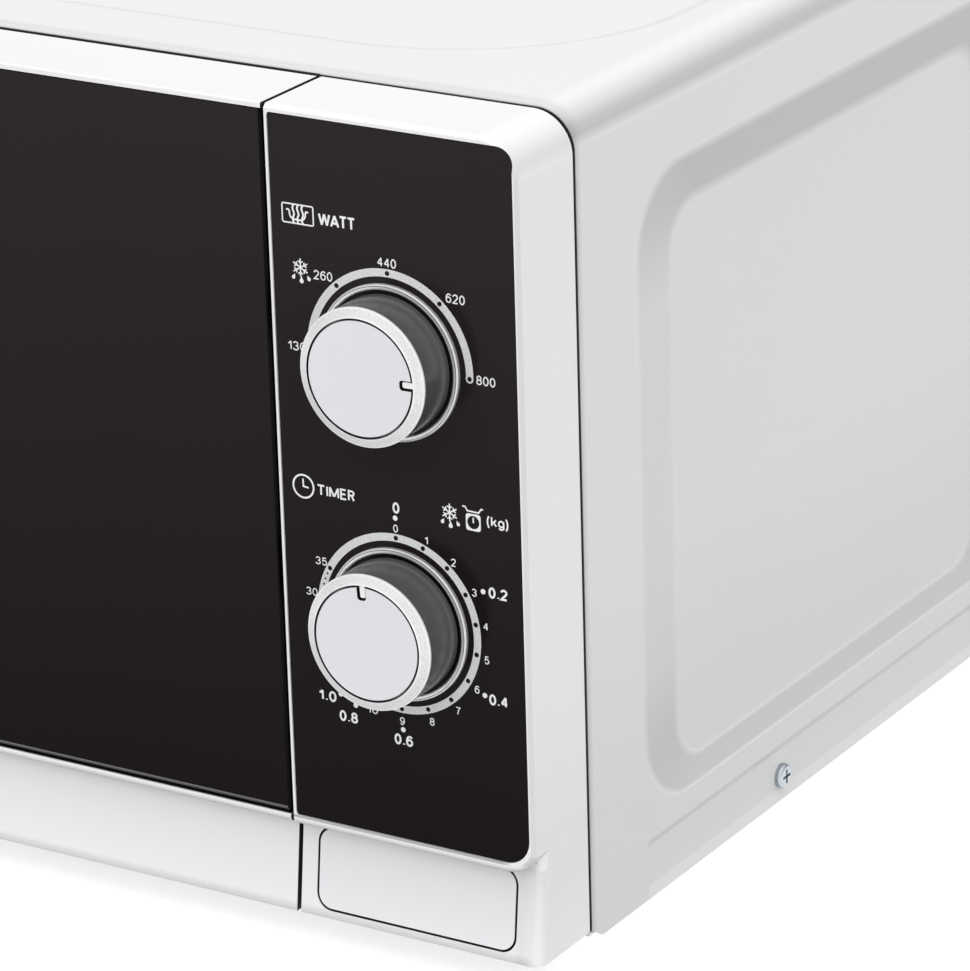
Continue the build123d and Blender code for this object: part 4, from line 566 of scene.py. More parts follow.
def bezel_finish():
    """Bright metal with a fine dark line of painted shade round the middle of each ring."""
    paint = Paint("bright_bezel", Metallic=0.5)
    reach = from_axis(paint, POWER_DIAL).least(from_axis(paint, TIMER_DIAL))
    # A thin ring of painted shade round the middle of each ring's face
    line = abs(reach - BEZEL_LINE_RADIUS) < 0.13 * MM
    grain = paint.noise(300.0, detail=4.0)
    bright = paint.blend(grain, (0.54, 0.54, 0.55), (0.66, 0.66, 0.67))
    paint.set(Base_Color=paint.blend(line, bright, (0.16, 0.16, 0.16)), Roughness=grain * 0.1 + 0.32)
    return paint.bump(grain, 0.004 * MM)


# The finish of each CAD node


def dress(paint, *names):
    """Give nodes a finish in place of their plain one."""
    for name in names:
        slots = NODES[name].data.materials
        slots.clear()
        slots.append(paint.material)


def dress_outside():
    """Cover, fascia, button, door front, dials, screws and feet."""
    dress(cover_finish(), "outer_cover")
    dress(fascia_finish(), "control_fascia")
    dress(button_finish(), "release_button")
    dress(door_frame_finish(), "door_frame")
    # The black panels carry a painted reflection lighter towards the top; the door's also a painted
    # highlight on its lower bevel and painted shade at its end
    dress(gloss_black("panel_black_gloss"), "panel_overlay")
    # The door panel's last millimetre at its end gets the painted shade
    door_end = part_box("door_panel")[1].x - 1 * MM
    dress(gloss_black("door_black_gloss", BASE_Z + DOOR_BEVEL_HEIGHT, door_end), "door_panel")
    dark_knob = moulded("knob_grey_satin", (0.115, 0.113, 0.116), 0.24, mottle=0.06, Metallic=0.25)
    for dial, centre in (("power", POWER_DIAL), ("timer", TIMER_DIAL)):
        rim, face = f"{dial}_knob_trim", f"{dial}_knob_cap"
        dress(dark_knob, f"{dial}_knob")
        dress(knob_rim_finish(f"{rim}_silver", rim, centre), rim)
        dress(knob_face_finish(f"{face}_pale", face, centre), face)
    dress(bezel_finish(), "dial_bezels")
    dress(metal("screw_zinc", (0.4, 0.44, 0.47), 0.26, scale=1400.0), "cover_screws")
    rubber = moulded("foot_rubber", (0.03, 0.03, 0.031), 0.75, mottle=0.2, grain=900.0, depth=0.06)
    dress(rubber, "feet")


def dress_metalwork():
    """Cavity, sheet metal, springs and the heavy electrical pieces."""
    enamel = speckled("cavity_pale_enamel", (0.6, 0.6, 0.58), speck=(0.36, 0.36, 0.35), rough=0.3)
    dress(enamel, "cavity_floor", "cavity_ceiling", "cavity_left_wall", "cavity_right_wall",
          "cavity_back_wall")
    frame_enamel = speckled("front_frame_enamel", (0.58, 0.58, 0.57), speck=(0.4, 0.4, 0.4), rough=0.32)
    dress(frame_enamel, "front_frame")
    zinc = zinc_sheet("galvanised_sheet", (0.46, 0.47, 0.48))
    dress(zinc, "base_plate", "rear_panel", "waveguide", "turntable_motor", "door_hinges")
    wire = metal("spring_wire", (0.5, 0.5, 0.51), 0.3)
    dress(wire, "button_spring", "latch_spring", "hinge_pins", "fan_shaft")
    dress(metal("cast_alloy", (0.7, 0.7, 0.71), 0.4, scale=500.0), "magnetron", "capacitor")
    laminations = striped("core_laminations", (0.05, 0.05, 0.052), (0.16, 0.16, 0.165), axis=1,
                          pitch=1.2 * MM, rough=0.4, metallic=0.7, depth=0.08)
    dress(laminations, "transformer_core", "fan_motor")
    copper = striped("enamelled_copper", (0.2, 0.07, 0.025), (0.62, 0.27, 0.11), axis=2,
                     pitch=1.1 * MM, rough=0.3, metallic=0.85, depth=0.15)
    dress(copper, "transformer_windings")


def dress_plastics():
    """Plastic pieces inside, the mica sheet, the board, the glass and the film."""
    natural = moulded("natural_plastic", (0.68, 0.67, 0.64), 0.42, mottle=0.03, grain=1500.0)
    dress(natural, "door_latch", "latch_board", "release_lever", "turntable_coupler", "roller_ring",
          "roller_1", "roller_2", "roller_3", "power_shaft", "timer_shaft", "lamp_holder")
    black = moulded("black_plastic", (0.022, 0.022, 0.024), 0.45, mottle=0.12, grain=1600.0, depth=0.03)
    dress(black, "timer_unit", "interlock_switches", "fan_shroud", "fan_blade", "thermal_cutouts",
          "rectifier_diode", "cord_gland", "choke_cover")
    mica = moulded("mica_sheet", (0.5, 0.42, 0.3), 0.45, mottle=0.15, grain=400.0, depth=0.03)
    dress(mica, "waveguide_cover")
    dress(moulded("board_green", (0.03, 0.14, 0.05), 0.35, mottle=0.2, grain=700.0), "filter_board")
    dress(clear("tray_clear_glass", (0.9, 0.95, 0.94), 0.02), "glass_tray")
    dress(clear("clear_film", (0.95, 0.95, 0.95), 0.05, ior=1.3), "window_film", "lamp_bulb")


# Geometry node tools


class Grove(Wiring):
    """A geometry node tree with named size inputs."""

    def __init__(self, name, **sizes):
        super().__init__(bpy.data.node_groups.new(name, "GeometryNodeTree"))
        self.values = {}
        self.sizes = {}
        self.tree.interface.new_socket("Geometry", in_out="INPUT", socket_type="NodeSocketGeometry")
        for key, value in sizes.items():
            kind = "NodeSocketInt" if isinstance(value, int) else "NodeSocketFloat"
            socket = self.tree.interface.new_socket(key, in_out="INPUT", socket_type=kind)
            self.values[socket.identifier] = value
        self.tree.interface.new_socket("Geometry", in_out="OUTPUT", socket_type="NodeSocketGeometry")
        entry = self.tree.nodes.new("NodeGroupInput")
        self.start = Flow(self, entry.outputs["Geometry"])
        for key in sizes:
            self.sizes[key] = Flow(self, entry.outputs[key])

    def join(self, *shapes):
        joint = self.tree.nodes.new("GeometryNodeJoinGeometry")
        for shape in shapes:
            self.tree.links.new(shape.socket, joint.inputs[0])
        return Flow(self, joint.outputs[0])

    def grow(self, shape, paint, start=None):
        """Plain mesh of a shape, with its instances realised and its material set."""
        solid = self.node("GeometryNodeRealizeInstances", inputs={0: shape})
        painted = self.node("GeometryNodeSetMaterial", inputs={0: solid, "Material": paint.material})
        end = self.tree.nodes.new("NodeGroupOutput")
        self.tree.links.new(painted.socket, end.inputs[0])
        holder = bpy.data.objects.new(self.tree.name, start or bpy.data.meshes.new(self.tree.name))
        bpy.context.scene.collection.objects.link(holder)
        modifier = holder.modifiers.new("grow", "NODES")
        modifier.node_group = self.tree
        for identifier, value in self.values.items():
            modifier[identifier] = value
        graph = bpy.context.evaluated_depsgraph_get()
        mesh = bpy.data.meshes.new_from_object(holder.evaluated_get(graph))
        holder.modifiers.remove(modifier)
        bpy.data.objects.remove(holder)
        return mesh


def piece(name, shape, body, paint, replaces=(), stretch=None):
    """Turn a mesh into a finished piece that rides on a body, or, for one that would stretch, is left in
    place at rest.
    """
    if isinstance(shape, bmesh.types.BMesh):
        mesh = bpy.data.meshes.new(name)
        shape.to_mesh(mesh)
        shape.free()
    else:
        mesh = shape
    mesh.materials.clear()
    mesh.materials.append(paint.material)
    made = bpy.data.objects.new(name, mesh)
    bpy.context.scene.collection.objects.link(made)
    if stretch:
        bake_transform(made)
    else:
        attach(made, body)
    if replaces:
        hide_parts(*replaces)
    return made


# Lettering

BOW_STEP = 15
LETTER_SPREAD = 1.2


def bow(x, z, across, up, start, end):
    """Places along an oval between two clock angles."""
    steps = int(abs(end - start) / BOW_STEP)
    turns = [math.radians(start + (end - start) * i / steps) for i in range(steps + 1)]
    return [(x + across * math.sin(turn), z + up * math.cos(turn)) for turn in turns]


def sticks(*places):
    """Separate straight strokes from place to place."""
    return [[places[i - 1], places[i]] for i in range(1, len(places))]


def turned(strokes, width):
    """Strokes turned upside down within a width."""
    return [[(width - x, 1 - z) for x, z in stroke] for stroke in strokes]


# Strokes of each letter and figure, one unit high
SIX = [bow(0.27, 0.32, 0.25, 0.32, 0, 360), bow(0.31, 0.5, 0.29, 0.5, 45, -90) + [(0.02, 0.32)]]
LETTERS = {
    "0": [bow(0.26, 0.5, 0.25, 0.5, 0, 360)],
    "1": [[(0.06, 0.72), (0.22, 0.8), (0.32, 1.0)], [(0.34, 1.0), (0.34, 0.0)]],
    "2": [bow(0.27, 0.72, 0.25, 0.28, -80, 115) + [(0.03, 0.0), (0.53, 0.0)]],
    "3": [bow(0.26, 0.755, 0.22, 0.245, -75, 180), bow(0.26, 0.27, 0.25, 0.27, 0, 255)],
    "4": sticks((0.42, 0.0), (0.42, 1.0), (0.02, 0.3), (0.56, 0.3)),
    "5": [[(0.49, 1.0), (0.13, 1.0)] + bow(0.27, 0.33, 0.25, 0.33, -55, 245)],
    "6": SIX,
    "7": [[(0.03, 1.0), (0.52, 1.0), (0.32, 0.55), (0.2, 0.0)]],
    "8": [bow(0.27, 0.76, 0.21, 0.24, 0, 360), bow(0.27, 0.27, 0.25, 0.27, 0, 360)],
    "9": turned(SIX, 0.54),
    ".": [[(0.06, 0.0), (0.06, 0.12)]],
    "(": [bow(0.46, 0.37, 0.4, 0.87, -140, -40)],
    ")": [bow(-0.22, 0.37, 0.4, 0.87, 140, 40)],
    "k": [[(0.06, 0.0), (0.06, 1.0)], [(0.46, 0.7), (0.08, 0.27)], [(0.22, 0.42), (0.48, 0.0)]],
    "g": [bow(0.26, 0.36, 0.22, 0.34, 0, 360),
          [(0.48, 0.7), (0.48, 0.0)] + bow(0.26, -0.06, 0.22, 0.2, 100, 250)],
    "W": sticks((0.0, 1.0), (0.28, 0.0), (0.56, 1.0), (0.84, 0.0), (1.12, 1.0)),
    "A": sticks((0.0, 0.0), (0.39, 1.0), (0.78, 0.0)) + [[(0.14, 0.3), (0.64, 0.3)]],
    "T": [[(0.0, 1.0), (0.7, 1.0)], [(0.35, 1.0), (0.35, 0.0)]],
    "I": [[(0.0, 0.0), (0.0, 1.0)]],
    "M": sticks((0.0, 0.0), (0.0, 1.0), (0.42, 0.06), (0.84, 1.0), (0.84, 0.0)),
    "E": [[(0.5, 1.0), (0.0, 1.0), (0.0, 0.0), (0.52, 0.0)], [(0.0, 0.52), (0.46, 0.52)]],
    "R": [[(0.0, 0.0), (0.0, 1.0), (0.28, 1.0)] + bow(0.3, 0.765, 0.22, 0.235, 15, 180) + [(0.0, 0.53)],
          [(0.3, 0.53), (0.52, 0.0)]],
}


# Printed panel

PRINT_FACE = OVERLAY_LOW.y
PRINT_THICK = 0.04 * MM
MITRE_LIMIT = 0.4
DROP_SHOULDER = 50
DROP_STEPS = 14
DROP_POINT = 2.1
TINY = 1e-9


class Outline:
    """Collects flat shapes drawn in x and z into one thin closed mesh on the panel's face."""

    def __init__(self):
        self.mesh = bmesh.new()

    def corner(self, place, y):
        return self.mesh.verts.new((place[0], y, place[1]))

    def shape(self, places):
        """A filled outline."""
        front = [self.corner(place, PRINT_FACE - PRINT_THICK) for place in places]
        back = [self.corner(place, PRINT_FACE) for place in places]
        self.mesh.faces.new(front)
        self.mesh.faces.new(back)
        for i in range(len(places)):
            self.mesh.faces.new((front[i - 1], front[i], back[i], back[i - 1]))

    def strip(self, sides, closed=False):
        """A band through pairs of places, one on each side of it."""
        rows = []
        for left, right in sides:
            front = [self.corner(place, PRINT_FACE - PRINT_THICK) for place in (left, right)]
            rows.append(front + [self.corner(place, PRINT_FACE) for place in (right, left)])
        for i in range(0 if closed else 1, len(rows)):
            for k in range(4):
                self.mesh.faces.new((rows[i - 1][k - 1], rows[i - 1][k], rows[i][k], rows[i][k - 1]))
        if not closed:
            self.mesh.faces.new(rows[0])
            self.mesh.faces.new(rows[-1])

    def line(self, places, width, closed=False):
        """A line of even width with mitred joints."""
        sides = []
        for i, place in enumerate(places):
            here = Vector(place)
            before = Vector(places[i - 1]) if closed or i else None
            after = Vector(places[(i + 1) % len(places)]) if closed or i + 1 < len(places) else None
            along = [(b - a).normalized() for a, b in ((before, here), (here, after)) if a and b]
            middle = sum(along, Vector((0.0, 0.0))).normalized()
            reach = Vector((-middle.y, middle.x)) * (width / 2 / max(MITRE_LIMIT, middle.dot(along[0])))
            sides.append((here - reach, here + reach))
        self.strip(sides, closed)

    def arc(self, centre, inner, outer, start=0.0, end=360.0, steps=96):
        """A band round a centre between two clock angles."""
        whole = end - start >= 360.0
        turns = [start + (end - start) * i / steps for i in range(steps if whole else steps + 1)]
        self.strip([(around(centre, turn, inner), around(centre, turn, outer)) for turn in turns], whole)

    def disc(self, centre, radius, steps=20):
        self.shape([around(centre, 360 * i / steps, radius) for i in range(steps)])

    def drop(self, centre, size, lean):
        """A water drop with its point leaning to a clock angle."""
        start, sweep = lean + DROP_SHOULDER, 360 - 2 * DROP_SHOULDER
        places = [around(centre, start + sweep * i / DROP_STEPS, size) for i in range(DROP_STEPS + 1)]
        self.shape([around(centre, lean, DROP_POINT * size)] + places)

    def words(self, text, centre, height, width=None, weight=0.14, space=0.1):
        """Plain lettering of even strokes round a centre, with a given height of its figures."""
        strokes = []
        reach = 0.0
        for letter in text:
            strokes += [[(reach + x, z) for x, z in stroke] for stroke in LETTERS[letter]]
            reach = max(x for stroke in strokes for x, _ in stroke) + space + weight
        reach -= space + weight
        pen = weight * height
        tall = height - pen
        wide = (width - pen) / reach if width else LETTER_SPREAD * tall
        for stroke in strokes:
            places = [(centre[0] + (x - reach / 2) * wide, centre[1] + (z - 0.5) * tall) for x, z in stroke]
            whole = math.dist(places[0], places[-1]) < TINY
            self.line(places[:-1] if whole else places, pen, whole)

    def finish(self, name, body, paint):
        """Merge the strokes that cross and make them one piece."""
        bmesh.ops.recalc_face_normals(self.mesh, faces=self.mesh.faces)
        strokes = bpy.data.meshes.new(name)
        self.mesh.to_mesh(strokes)
        self.mesh.free()
        grove = Grove(f"{name}_merge")
        merged = grove.node("GeometryNodeMeshBoolean", {"operation": "UNION", "solver": "EXACT"}, {
            1: grove.start, "Self Intersection": True})
        return piece(name, grove.grow(merged, paint, strokes), body, paint)


# Figures round the power dial: text, clock angle, and distance from the axis in millimetres
POWER_FIGURES = (
    ("130", -90, 30.7),
    ("260", -43.6, 30.4),
    ("440", 0.2, 28.9),
    ("620", 45.3, 30.9),
    ("800", 91, 31.0),
)
POWER_FIGURE_TALL = 2.75 * MM
POWER_FIGURE_WIDE = 6.2 * MM

# Minutes round the timer dial, on tracks round a centre a little below its axis
MINUTE_CENTRE = shifted(TIMER_DIAL, 0.0, -0.45)
MINUTE_STEP = 20
MINUTE_TRACK = 29.15 * MM
MINUTE_TALL = 2.4 * MM
LATE_MINUTES = (("10", 200), ("30", -80.3), ("35", -59.7))
LATE_TRACK = 29.4 * MM
LATE_WIDE = 3.9 * MM

# Weights outside the minutes: text, its clock angle and distance in millimetres, then those of its dot
WEIGHT_FIGURES = (
    ("0", (0.6, 34.9), (0, 31.8)),
    ("0.2", (65.4, 36.3), (62, 31.9)),
    ("0.4", (118, 36.5), (120.4, 32.2)),
    ("0.6", (179.6, 35.4), (179.6, 32.2)),
    ("0.8", (-150.4, 36.7), (-150.8, 31.9)),
    ("1.0", (-136.7, 36.7), (-141, 32.6)),
)
WEIGHT_TALL = 3.35 * MM
WEIGHT_WIDE = 6.2 * MM
WEIGHT_STROKE = 0.19
WEIGHT_DOT_RADIUS = 0.78 * MM

# Words: text, place, height, width, and the strokes' weight and spacing as shares of the height
PANEL_WORDS = (
    ("WATT", spot(-58.5, 214.1), 3.75 * MM, 12.2 * MM, 0.175, 0.0),
    ("TIMER", spot(-62.35, 133.9), 3.35 * MM, 12.6 * MM, 0.17, 0.12),
    ("(kg)", spot(-9.4, 134.4), 3.05 * MM, 7.2 * MM, 0.16, 0.03),
)
OVEN_SIGN = spot(-71.3, 214.46)
FROST_SIGNS = (spot(-71.12, 199.02), spot(-24.8, 134.65))
CLOCK_SIGN = spot(-73.15, 134.05)
SCALES_SIGN = spot(-17.14, 133.04)
THIN_PEN = 0.42 * MM
WIDE_PEN = 0.5 * MM


def print_panel():
    """White figures and signs, and silver rings round the two dials."""
    white = Outline()
    print_figures(white)
    for word in PANEL_WORDS:
        white.words(*word)
    print_oven_sign(white, OVEN_SIGN)
    for place in FROST_SIGNS:
        print_frost_sign(white, place)
    print_clock_sign(white, CLOCK_SIGN)
    print_scales_sign(white, SCALES_SIGN)
    ink = moulded("white_ink", (0.8, 0.8, 0.81), 0.5, mottle=0.04, grain=2600.0, depth=0.004)
    white.finish("panel_figures", "cabinet", ink)
    rings = Outline()
    rings.arc(POWER_DIAL, RING_INNER, RING_OUTER, *RING_ENDS)
    rings.arc(TIMER_DIAL, RING_INNER, RING_OUTER)
    for angle in RING_ENDS:
        rings.disc(around(POWER_DIAL, angle, DOT_TRACK), RING_END_RADIUS)
    silver = moulded("silver_ink", (0.65, 0.65, 0.66), 0.42, mottle=0.34, cloud=2200.0, depth=0.004)
    rings.finish("dial_rings", "cabinet", silver)


def print_figures(white):
    """Figures round the two dials, and a dot beside each weight."""
    for label, angle, radius in POWER_FIGURES:
        white.words(label, around(POWER_DIAL, angle, radius * MM), POWER_FIGURE_TALL, POWER_FIGURE_WIDE)
    for minute in range(10):
        white.words(str(minute), around(MINUTE_CENTRE, MINUTE_STEP * minute, MINUTE_TRACK), MINUTE_TALL)
    for label, angle in LATE_MINUTES:
        white.words(label, around(MINUTE_CENTRE, angle, LATE_TRACK), MINUTE_TALL, LATE_WIDE)
    for label, (angle, radius), (dot_angle, dot_radius) in WEIGHT_FIGURES:
        width = WEIGHT_WIDE if len(label) > 1 else None
        white.words(label, around(TIMER_DIAL, angle, radius * MM), WEIGHT_TALL, width, WEIGHT_STROKE)
        white.disc(around(TIMER_DIAL, dot_angle, dot_radius * MM), WEIGHT_DOT_RADIUS)


def print_oven_sign(white, centre):
    """A bowl in a rounded box, crossed by three waves."""
    half_wide, half_tall, corner = 4.6, 2.25, 0.5 * MM
    box = []
    for turn, (across, up) in enumerate(((1, 1), (1, -1), (-1, -1), (-1, 1))):
        middle = shifted(centre, across * half_wide, up * half_tall)
        box += [around(middle, 90 * turn + 30 * i, corner) for i in range(4)]
    white.line(box, THIN_PEN, closed=True)
    bowl = (
        (-3.8, 1.05), (-3.0, 1.0), (-2.72, 0.6), (-2.68, -0.3), (-2.4, -1.0), (-1.75, -1.5), (-0.8, -1.65),
        (1.1, -1.65), (1.95, -1.25), (2.45, -0.5), (2.55, 0.5), (2.75, 0.95), (3.5, 0.95),
    )
    white.line([shifted(centre, dx, dz) for dx, dz in bowl], WIDE_PEN)
    half_wave, swing, wave_length, wave_start, steps = 2.7, 0.24, 0.6, 0.2, 16
    for column in (-1.42, 0.07, 1.57):
        wave = []
        for i in range(steps + 1):
            fall = i / steps
            sway = column - swing * math.cos(2 * math.pi * (fall - wave_start) / wave_length)
            wave.append(shifted(centre, sway, half_wave - 2 * half_wave * fall))
        white.line(wave, 0.58 * MM)


def print_frost_sign(white, centre):
    """A snow crystal with six forked arms, and three drops below it."""
    arm_length, fork_start, fork_length, fork_angle = 2.65 * MM, 1.35 * MM, 0.95 * MM, 55
    for arm in range(0, 360, 60):
        white.line([centre, around(centre, arm, arm_length)], THIN_PEN)
        for side in (-1, 1):
            fork = around(centre, arm, fork_start)
            white.line([fork, around(fork, arm + side * fork_angle, fork_length)], 0.38 * MM)
    for dx, dz, size, lean in ((-2.4, -3.05, 0.55, 28), (0.25, -3.9, 0.66, 0), (2.75, -3.05, 0.55, -28)):
        white.drop(shifted(centre, dx, dz), size * MM, lean)


def print_clock_sign(white, centre):
    """A round clock face with two hands."""
    inner, outer = 3.12 * MM, 3.68 * MM
    white.arc(centre, inner, outer, steps=48)
    hands = ((-0.05, 2.3), (0.0, 0.0), (1.75, -0.2))
    white.line([shifted(centre, dx, dz) for dx, dz in hands], WIDE_PEN)


def print_scales_sign(white, centre):
    """Kitchen scales: a square body with a round dial and a needle, under a tray."""
    dial, half_wide, half_tall, corner_reach, steps = 1.95 * MM, 2.4 * MM, 2.5 * MM, 1.62, 32
    sides = []
    for i in range(steps):
        inner = around(centre, 360 * i / steps, dial)
        dx, dz = inner[0] - centre[0], inner[1] - centre[1]
        grow = min(half_wide / max(abs(dx), TINY), half_tall / max(abs(dz), TINY), corner_reach)
        sides.append((inner, (centre[0] + dx * grow, centre[1] + dz * grow)))
    white.strip(sides, closed=True)
    white.line([shifted(centre, 0.0, -0.2), shifted(centre, 0.0, 1.4)], THIN_PEN)
    tray = ((-3.46, 4.38), (-2.49, 4.29), (-1.88, 3.2), (1.84, 3.1), (2.57, 4.3), (3.29, 4.27))
    white.line([shifted(centre, dx, dz) for dx, dz in tray], 0.44 * MM)


# Dots printed over the rings
DOT_TRACK = 25.85 * MM
DOT_RADIUS = 0.72 * MM
SMALL_DOT_RADIUS = 0.32 * MM
DOT_SIDES = 16
DOT_THICK = 1.5 * PRINT_THICK
DOT_Y = PRINT_FACE - 1.25 * PRINT_THICK

# Rows of dots: name, dial, first clock angle, step, count and radius
DOT_ROWS = (
    ("power_dots", POWER_DIAL, -39.9, 40.3, 3, DOT_RADIUS),
    ("end_dots", POWER_DIAL, RING_ENDS[0], RING_ENDS[1] - RING_ENDS[0], 2, DOT_RADIUS),
    ("minute_dots", TIMER_DIAL, 0, MINUTE_STEP, 11, DOT_RADIUS),
    ("late_dots", TIMER_DIAL, -81, 20.6, 2, DOT_RADIUS),
    ("small_dots", TIMER_DIAL, -77, 4.1, 4, SMALL_DOT_RADIUS),
)


def dial_dots(paint, name, centre, start, step, count, radius):
    """Round dots at equal clock angles, printed over a dial's ring."""
    grove = Grove(name, track=DOT_TRACK, start=math.radians(start), step=math.radians(step),
                  count=count, radius=radius)
    points = grove.node("GeometryNodePoints", inputs={"Count": grove.sizes["count"]})
    turn = grove.node("GeometryNodeInputIndex") * grove.sizes["step"] + grove.sizes["start"]
    x = turn.sine() * grove.sizes["track"] + centre[0]
    z = turn.cosine() * grove.sizes["track"] + centre[1]
    place = grove.node("ShaderNodeCombineXYZ", inputs={0: x, 1: DOT_Y, 2: z})
    placed = grove.node("GeometryNodeSetPosition", inputs={"Geometry": points, "Position": place})
    dot = grove.node("GeometryNodeMeshCylinder", inputs={
        "Vertices": DOT_SIDES, "Radius": grove.sizes["radius"], "Depth": DOT_THICK})
    dots = grove.node("GeometryNodeInstanceOnPoints", inputs={
        "Points": placed, "Instance": dot, "Rotation": (math.pi / 2, 0.0, 0.0)})
    return grove.grow(dots, paint)


def print_dots():
    """All the dots as one piece."""
    # The dots' black carries the same painted reflection, lighter towards the top
    ink = gloss_black("black_ink")
    whole = bmesh.new()
    for row in DOT_ROWS:
        mesh = dial_dots(ink, *row)
        whole.from_mesh(mesh)
        bpy.data.meshes.remove(mesh)
    piece("dial_dots", whole, "cabinet", ink)


# Springs: node, body of the fixed end, body of the pressed end, axis and turns
SPRINGS = (
    ("button_spring", "cabinet", "button", 1, 7),
    ("latch_spring", "door", "latch", 2, 6),
)
WIRE_RADIUS = 0.4 * MM
WIRE_SIDES = 10
COIL_STEPS = 24


def coil(name, length, radius, turns, paint):
    """Wound spring along z, from the origin upwards."""
    grove = Grove(name, length=length, radius=radius, wire=WIRE_RADIUS, turns=float(turns))
    line = grove.node("GeometryNodeCurveSpiral", inputs={
        "Resolution": COIL_STEPS, "Rotations": grove.sizes["turns"], "Start Radius": grove.sizes["radius"],
        "End Radius": grove.sizes["radius"], "Height": grove.sizes["length"]})
    ring = grove.node("GeometryNodeCurvePrimitiveCircle", inputs={
        "Resolution": WIRE_SIDES, "Radius": grove.sizes["wire"]})
    tube = grove.node("GeometryNodeCurveToMesh", inputs={
        "Curve": line, "Profile Curve": ring, "Fill Caps": True})
    return grove.grow(tube, paint)


def wind_springs():
    """Wound springs in the places of the frame's plain tubes, reaching from the fixed end to the pressed end
    at rest.
    """
    wire = metal("wound_spring_wire", (0.52, 0.52, 0.53), 0.28, scale=1500.0)
    for node, body, presser, axis, turns in SPRINGS:
        low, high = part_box(node)
        size = high - low
        mesh = coil(f"{node}_wire", size[axis] - 2 * WIRE_RADIUS, size.x / 2 - WIRE_RADIUS, turns, wire)
        pressed = (low + high) / 2
        fixed = pressed.copy()
        pressed[axis] = low[axis] + WIRE_RADIUS
        fixed[axis] = high[axis] - WIRE_RADIUS
        turn = Matrix.Rotation(-math.pi / 2, 4, "X") if axis == 1 else Matrix.Identity(4)
        mesh.transform(Matrix.Translation(pressed) @ turn)
        piece(f"{node}_coil", mesh, body, wire, (node,), (presser, fixed, pressed))


# The door's screen
HOLE_PITCH = 2.8 * MM
HOLE_RADIUS = 1.05 * MM
HOLE_SIDES = 6
SCREEN_THICK = 1.0 * MM
SCREEN_MARGIN = 7 * MM
MERGE_DISTANCE = 1e-6


def perforated_plate(name, size, mesh_area, paint):
    """Sheet in x and y with rows of small holes over the middle, closed all round."""
    columns, rows = (int(side / HOLE_PITCH) for side in mesh_area)
    grove = Grove(name, width=size[0], height=size[1], pitch=HOLE_PITCH, hole=HOLE_RADIUS,
                  thick=SCREEN_THICK, columns=columns, rows=rows)
    pitch, columns, rows = (grove.sizes[key] for key in ("pitch", "columns", "rows"))
    grid = grove.node("GeometryNodeMeshGrid", inputs={
        "Size X": (columns - 1) * pitch, "Size Y": (rows - 1) * pitch,
        "Vertices X": columns, "Vertices Y": rows})
    ring = grove.node("GeometryNodeCurvePrimitiveCircle", inputs={
        "Resolution": HOLE_SIDES, "Radius": grove.sizes["hole"]})
    holes = grove.node("GeometryNodeInstanceOnPoints", inputs={"Points": grid, "Instance": ring})
    holes = grove.node("GeometryNodeRealizeInstances", inputs={0: holes})
    edge = grove.node("GeometryNodeCurvePrimitiveQuadrilateral", inputs={
        "Width": grove.sizes["width"], "Height": grove.sizes["height"]})
    sheet = grove.node("GeometryNodeFillCurve", inputs={"Curve": grove.join(edge, holes)})
    walls = grove.node("GeometryNodeExtrudeMesh", inputs={
        "Mesh": sheet, "Offset": (0.0, 0.0, 1.0), "Offset Scale": grove.sizes["thick"],
        "Individual": False})
    under = grove.node("GeometryNodeFlipFaces", inputs={0: sheet})
    closed = grove.node("GeometryNodeMergeByDistance", inputs={
        "Geometry": grove.join(walls, under), "Distance": MERGE_DISTANCE})
    return grove.grow(closed, paint)


def oblong(low, high, inset):
    """Corners in x and z of a box's outline, set in from its sides."""
    left, right = low.x + inset, high.x - inset
    bottom, top = low.z + inset, high.z - inset
    return (left, bottom), (right, bottom), (right, top), (left, top)


def perforate_screen():
    """The door's steel screen with its holes, and the folded wall round its edge."""
    low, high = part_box("door_screen")
    film_low, film_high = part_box("window_film")
    steel = metal("screen_steel", (0.32, 0.32, 0.33), 0.36, stretch=(1.0, 1.0, 30.0))
    size = high - low
    window = film_high - film_low
    mesh_area = (window.x - 2 * SCREEN_MARGIN, window.z - 2 * SCREEN_MARGIN)
    sheet = perforated_plate("screen_holes", (size.x, size.z), mesh_area, steel)
    centre = (low + high) / 2
    inner_face = low.y + SCREEN_THICK
    sheet.transform(Matrix((
        (1, 0, 0, centre.x),
        (0, 0, -1, inner_face),
        (0, 1, 0, centre.z),
        (0, 0, 0, 1),
    )))
    whole = bmesh.new()
    whole.from_mesh(sheet)
    bpy.data.meshes.remove(sheet)
    rows = []
    for (ax, az), (bx, bz) in zip(oblong(low, high, 0.0), oblong(low, high, SCREEN_THICK)):
        corners = ((ax, inner_face, az), (bx, inner_face, bz), (bx, high.y, bz), (ax, high.y, az))
        rows.append([whole.verts.new(corner) for corner in corners])
    for i in range(4):
        for k in range(4):
            whole.faces.new((rows[i - 1][k - 1], rows[i - 1][k], rows[i][k], rows[i][k - 1]))
    bmesh.ops.recalc_face_normals(whole, faces=whole.faces)
    piece("door_screen_mesh", whole, "door", steel, ("door_screen",))


# Studio

# The photograph's camera: its place in millimetres from the fascia's lower right front corner, and its turn
EYE = (709.20, -1153.16, 656.48)
LOOK = (-0.49669, 0.79335, -0.35199)
UP = (-0.16209, 0.31363, 0.93561)
LENS = 196.3
SENSOR_WIDTH = 36.0
CLIP_END = 50.0

# Light from all round: its mean level, and how it grows towards one side
SOFT_LEVEL = 0.69
SOFT_TILT = (0.22, -0.44, 0.9)
FLOOR_SIZE = 6.0
FLOOR_GLOW = 0.6


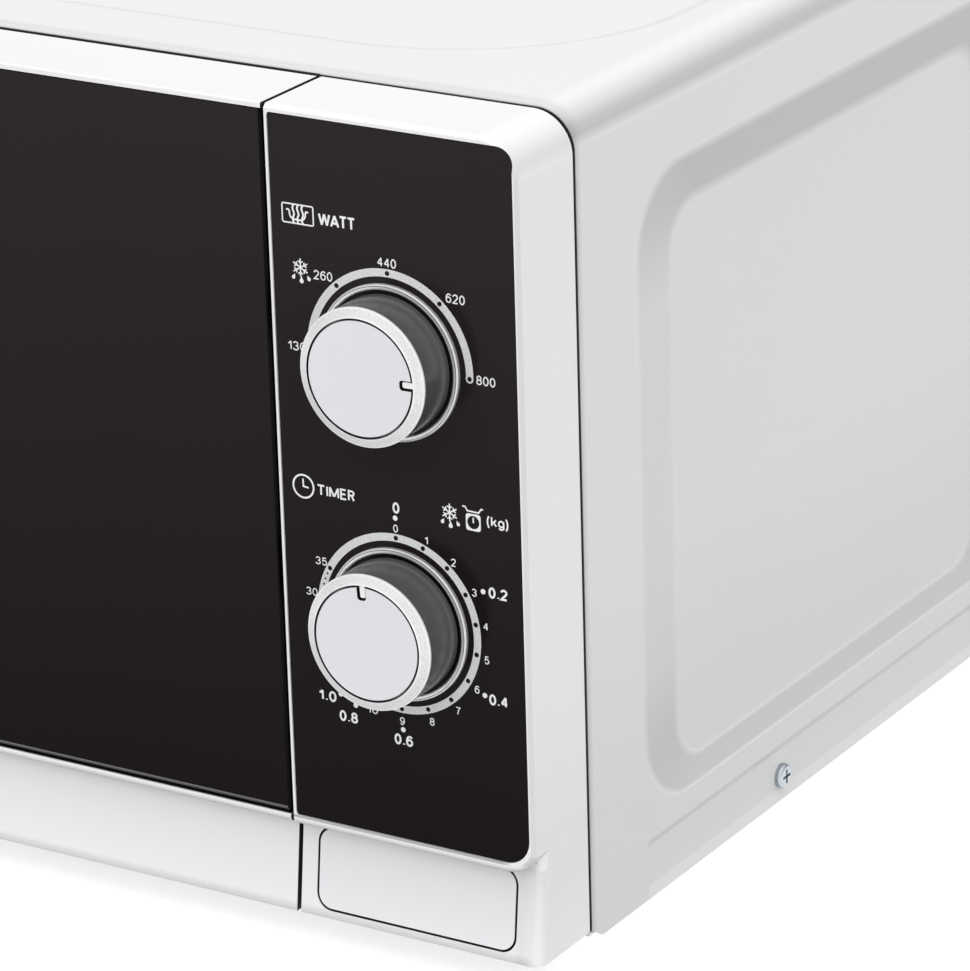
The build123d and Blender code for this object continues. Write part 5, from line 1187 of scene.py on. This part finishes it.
def set_camera():
    """The camera at the photograph's place and turn."""
    camera = bpy.data.cameras.new("camera")
    camera.lens = LENS
    camera.sensor_width = SENSOR_WIDTH
    camera.clip_end = CLIP_END
    eye = Vector(EYE) * MM + Vector((RIGHT, PANEL_Y, BASE_Z))
    look = Vector(LOOK).normalized()
    side = look.cross(Vector(UP).normalized()).normalized()
    up = side.cross(look)
    holder = bpy.data.objects.new("camera", camera)
    holder.matrix_world = Matrix((
        (side.x, up.x, -look.x, eye.x),
        (side.y, up.y, -look.y, eye.y),
        (side.z, up.z, -look.z, eye.z),
        (0, 0, 0, 1),
    ))
    bpy.context.scene.collection.objects.link(holder)
    bpy.context.scene.camera = holder


def set_studio():
    """White surroundings that are brightest above, a little to the front and right, and a pale floor."""
    scene = bpy.context.scene
    scene.view_settings.view_transform = "Standard"
    world = bpy.data.worlds.new("studio")
    world.use_nodes = True
    scene.world = world
    sky = Wiring(world.node_tree)
    way = sky.node("ShaderNodeTexCoord", output="Generated")
    tilt = {0: way, 1: SOFT_TILT}
    lift = sky.node("ShaderNodeVectorMath", {"operation": "DOT_PRODUCT"}, tilt, output="Value")
    light = world.node_tree.nodes["Background"]
    sky.feed(light.inputs["Color"], (1.0, 1.0, 1.0))
    sky.feed(light.inputs["Strength"], (lift + SOFT_LEVEL).most(0.0))
    floor = bmesh.new()
    bmesh.ops.create_grid(floor, x_segments=1, y_segments=1, size=FLOOR_SIZE)
    mesh = bpy.data.meshes.new("floor")
    floor.to_mesh(mesh)
    floor.free()
    ground = bpy.data.objects.new("floor", mesh)
    pale = moulded("pale_floor", (0.93, 0.93, 0.93), 0.7, mottle=0.004, grain=300.0, depth=0.01,
                   Specular_IOR_Level=0.1, Emission_Color=(1.0, 1.0, 1.0), Emission_Strength=FLOOR_GLOW)
    mesh.materials.append(pale.material)
    scene.collection.objects.link(ground)
    ground.visible_diffuse = False


dress_outside()
dress_metalwork()
dress_plastics()
print_panel()
print_dots()
wind_springs()
perforate_screen()
set_camera()
set_studio()
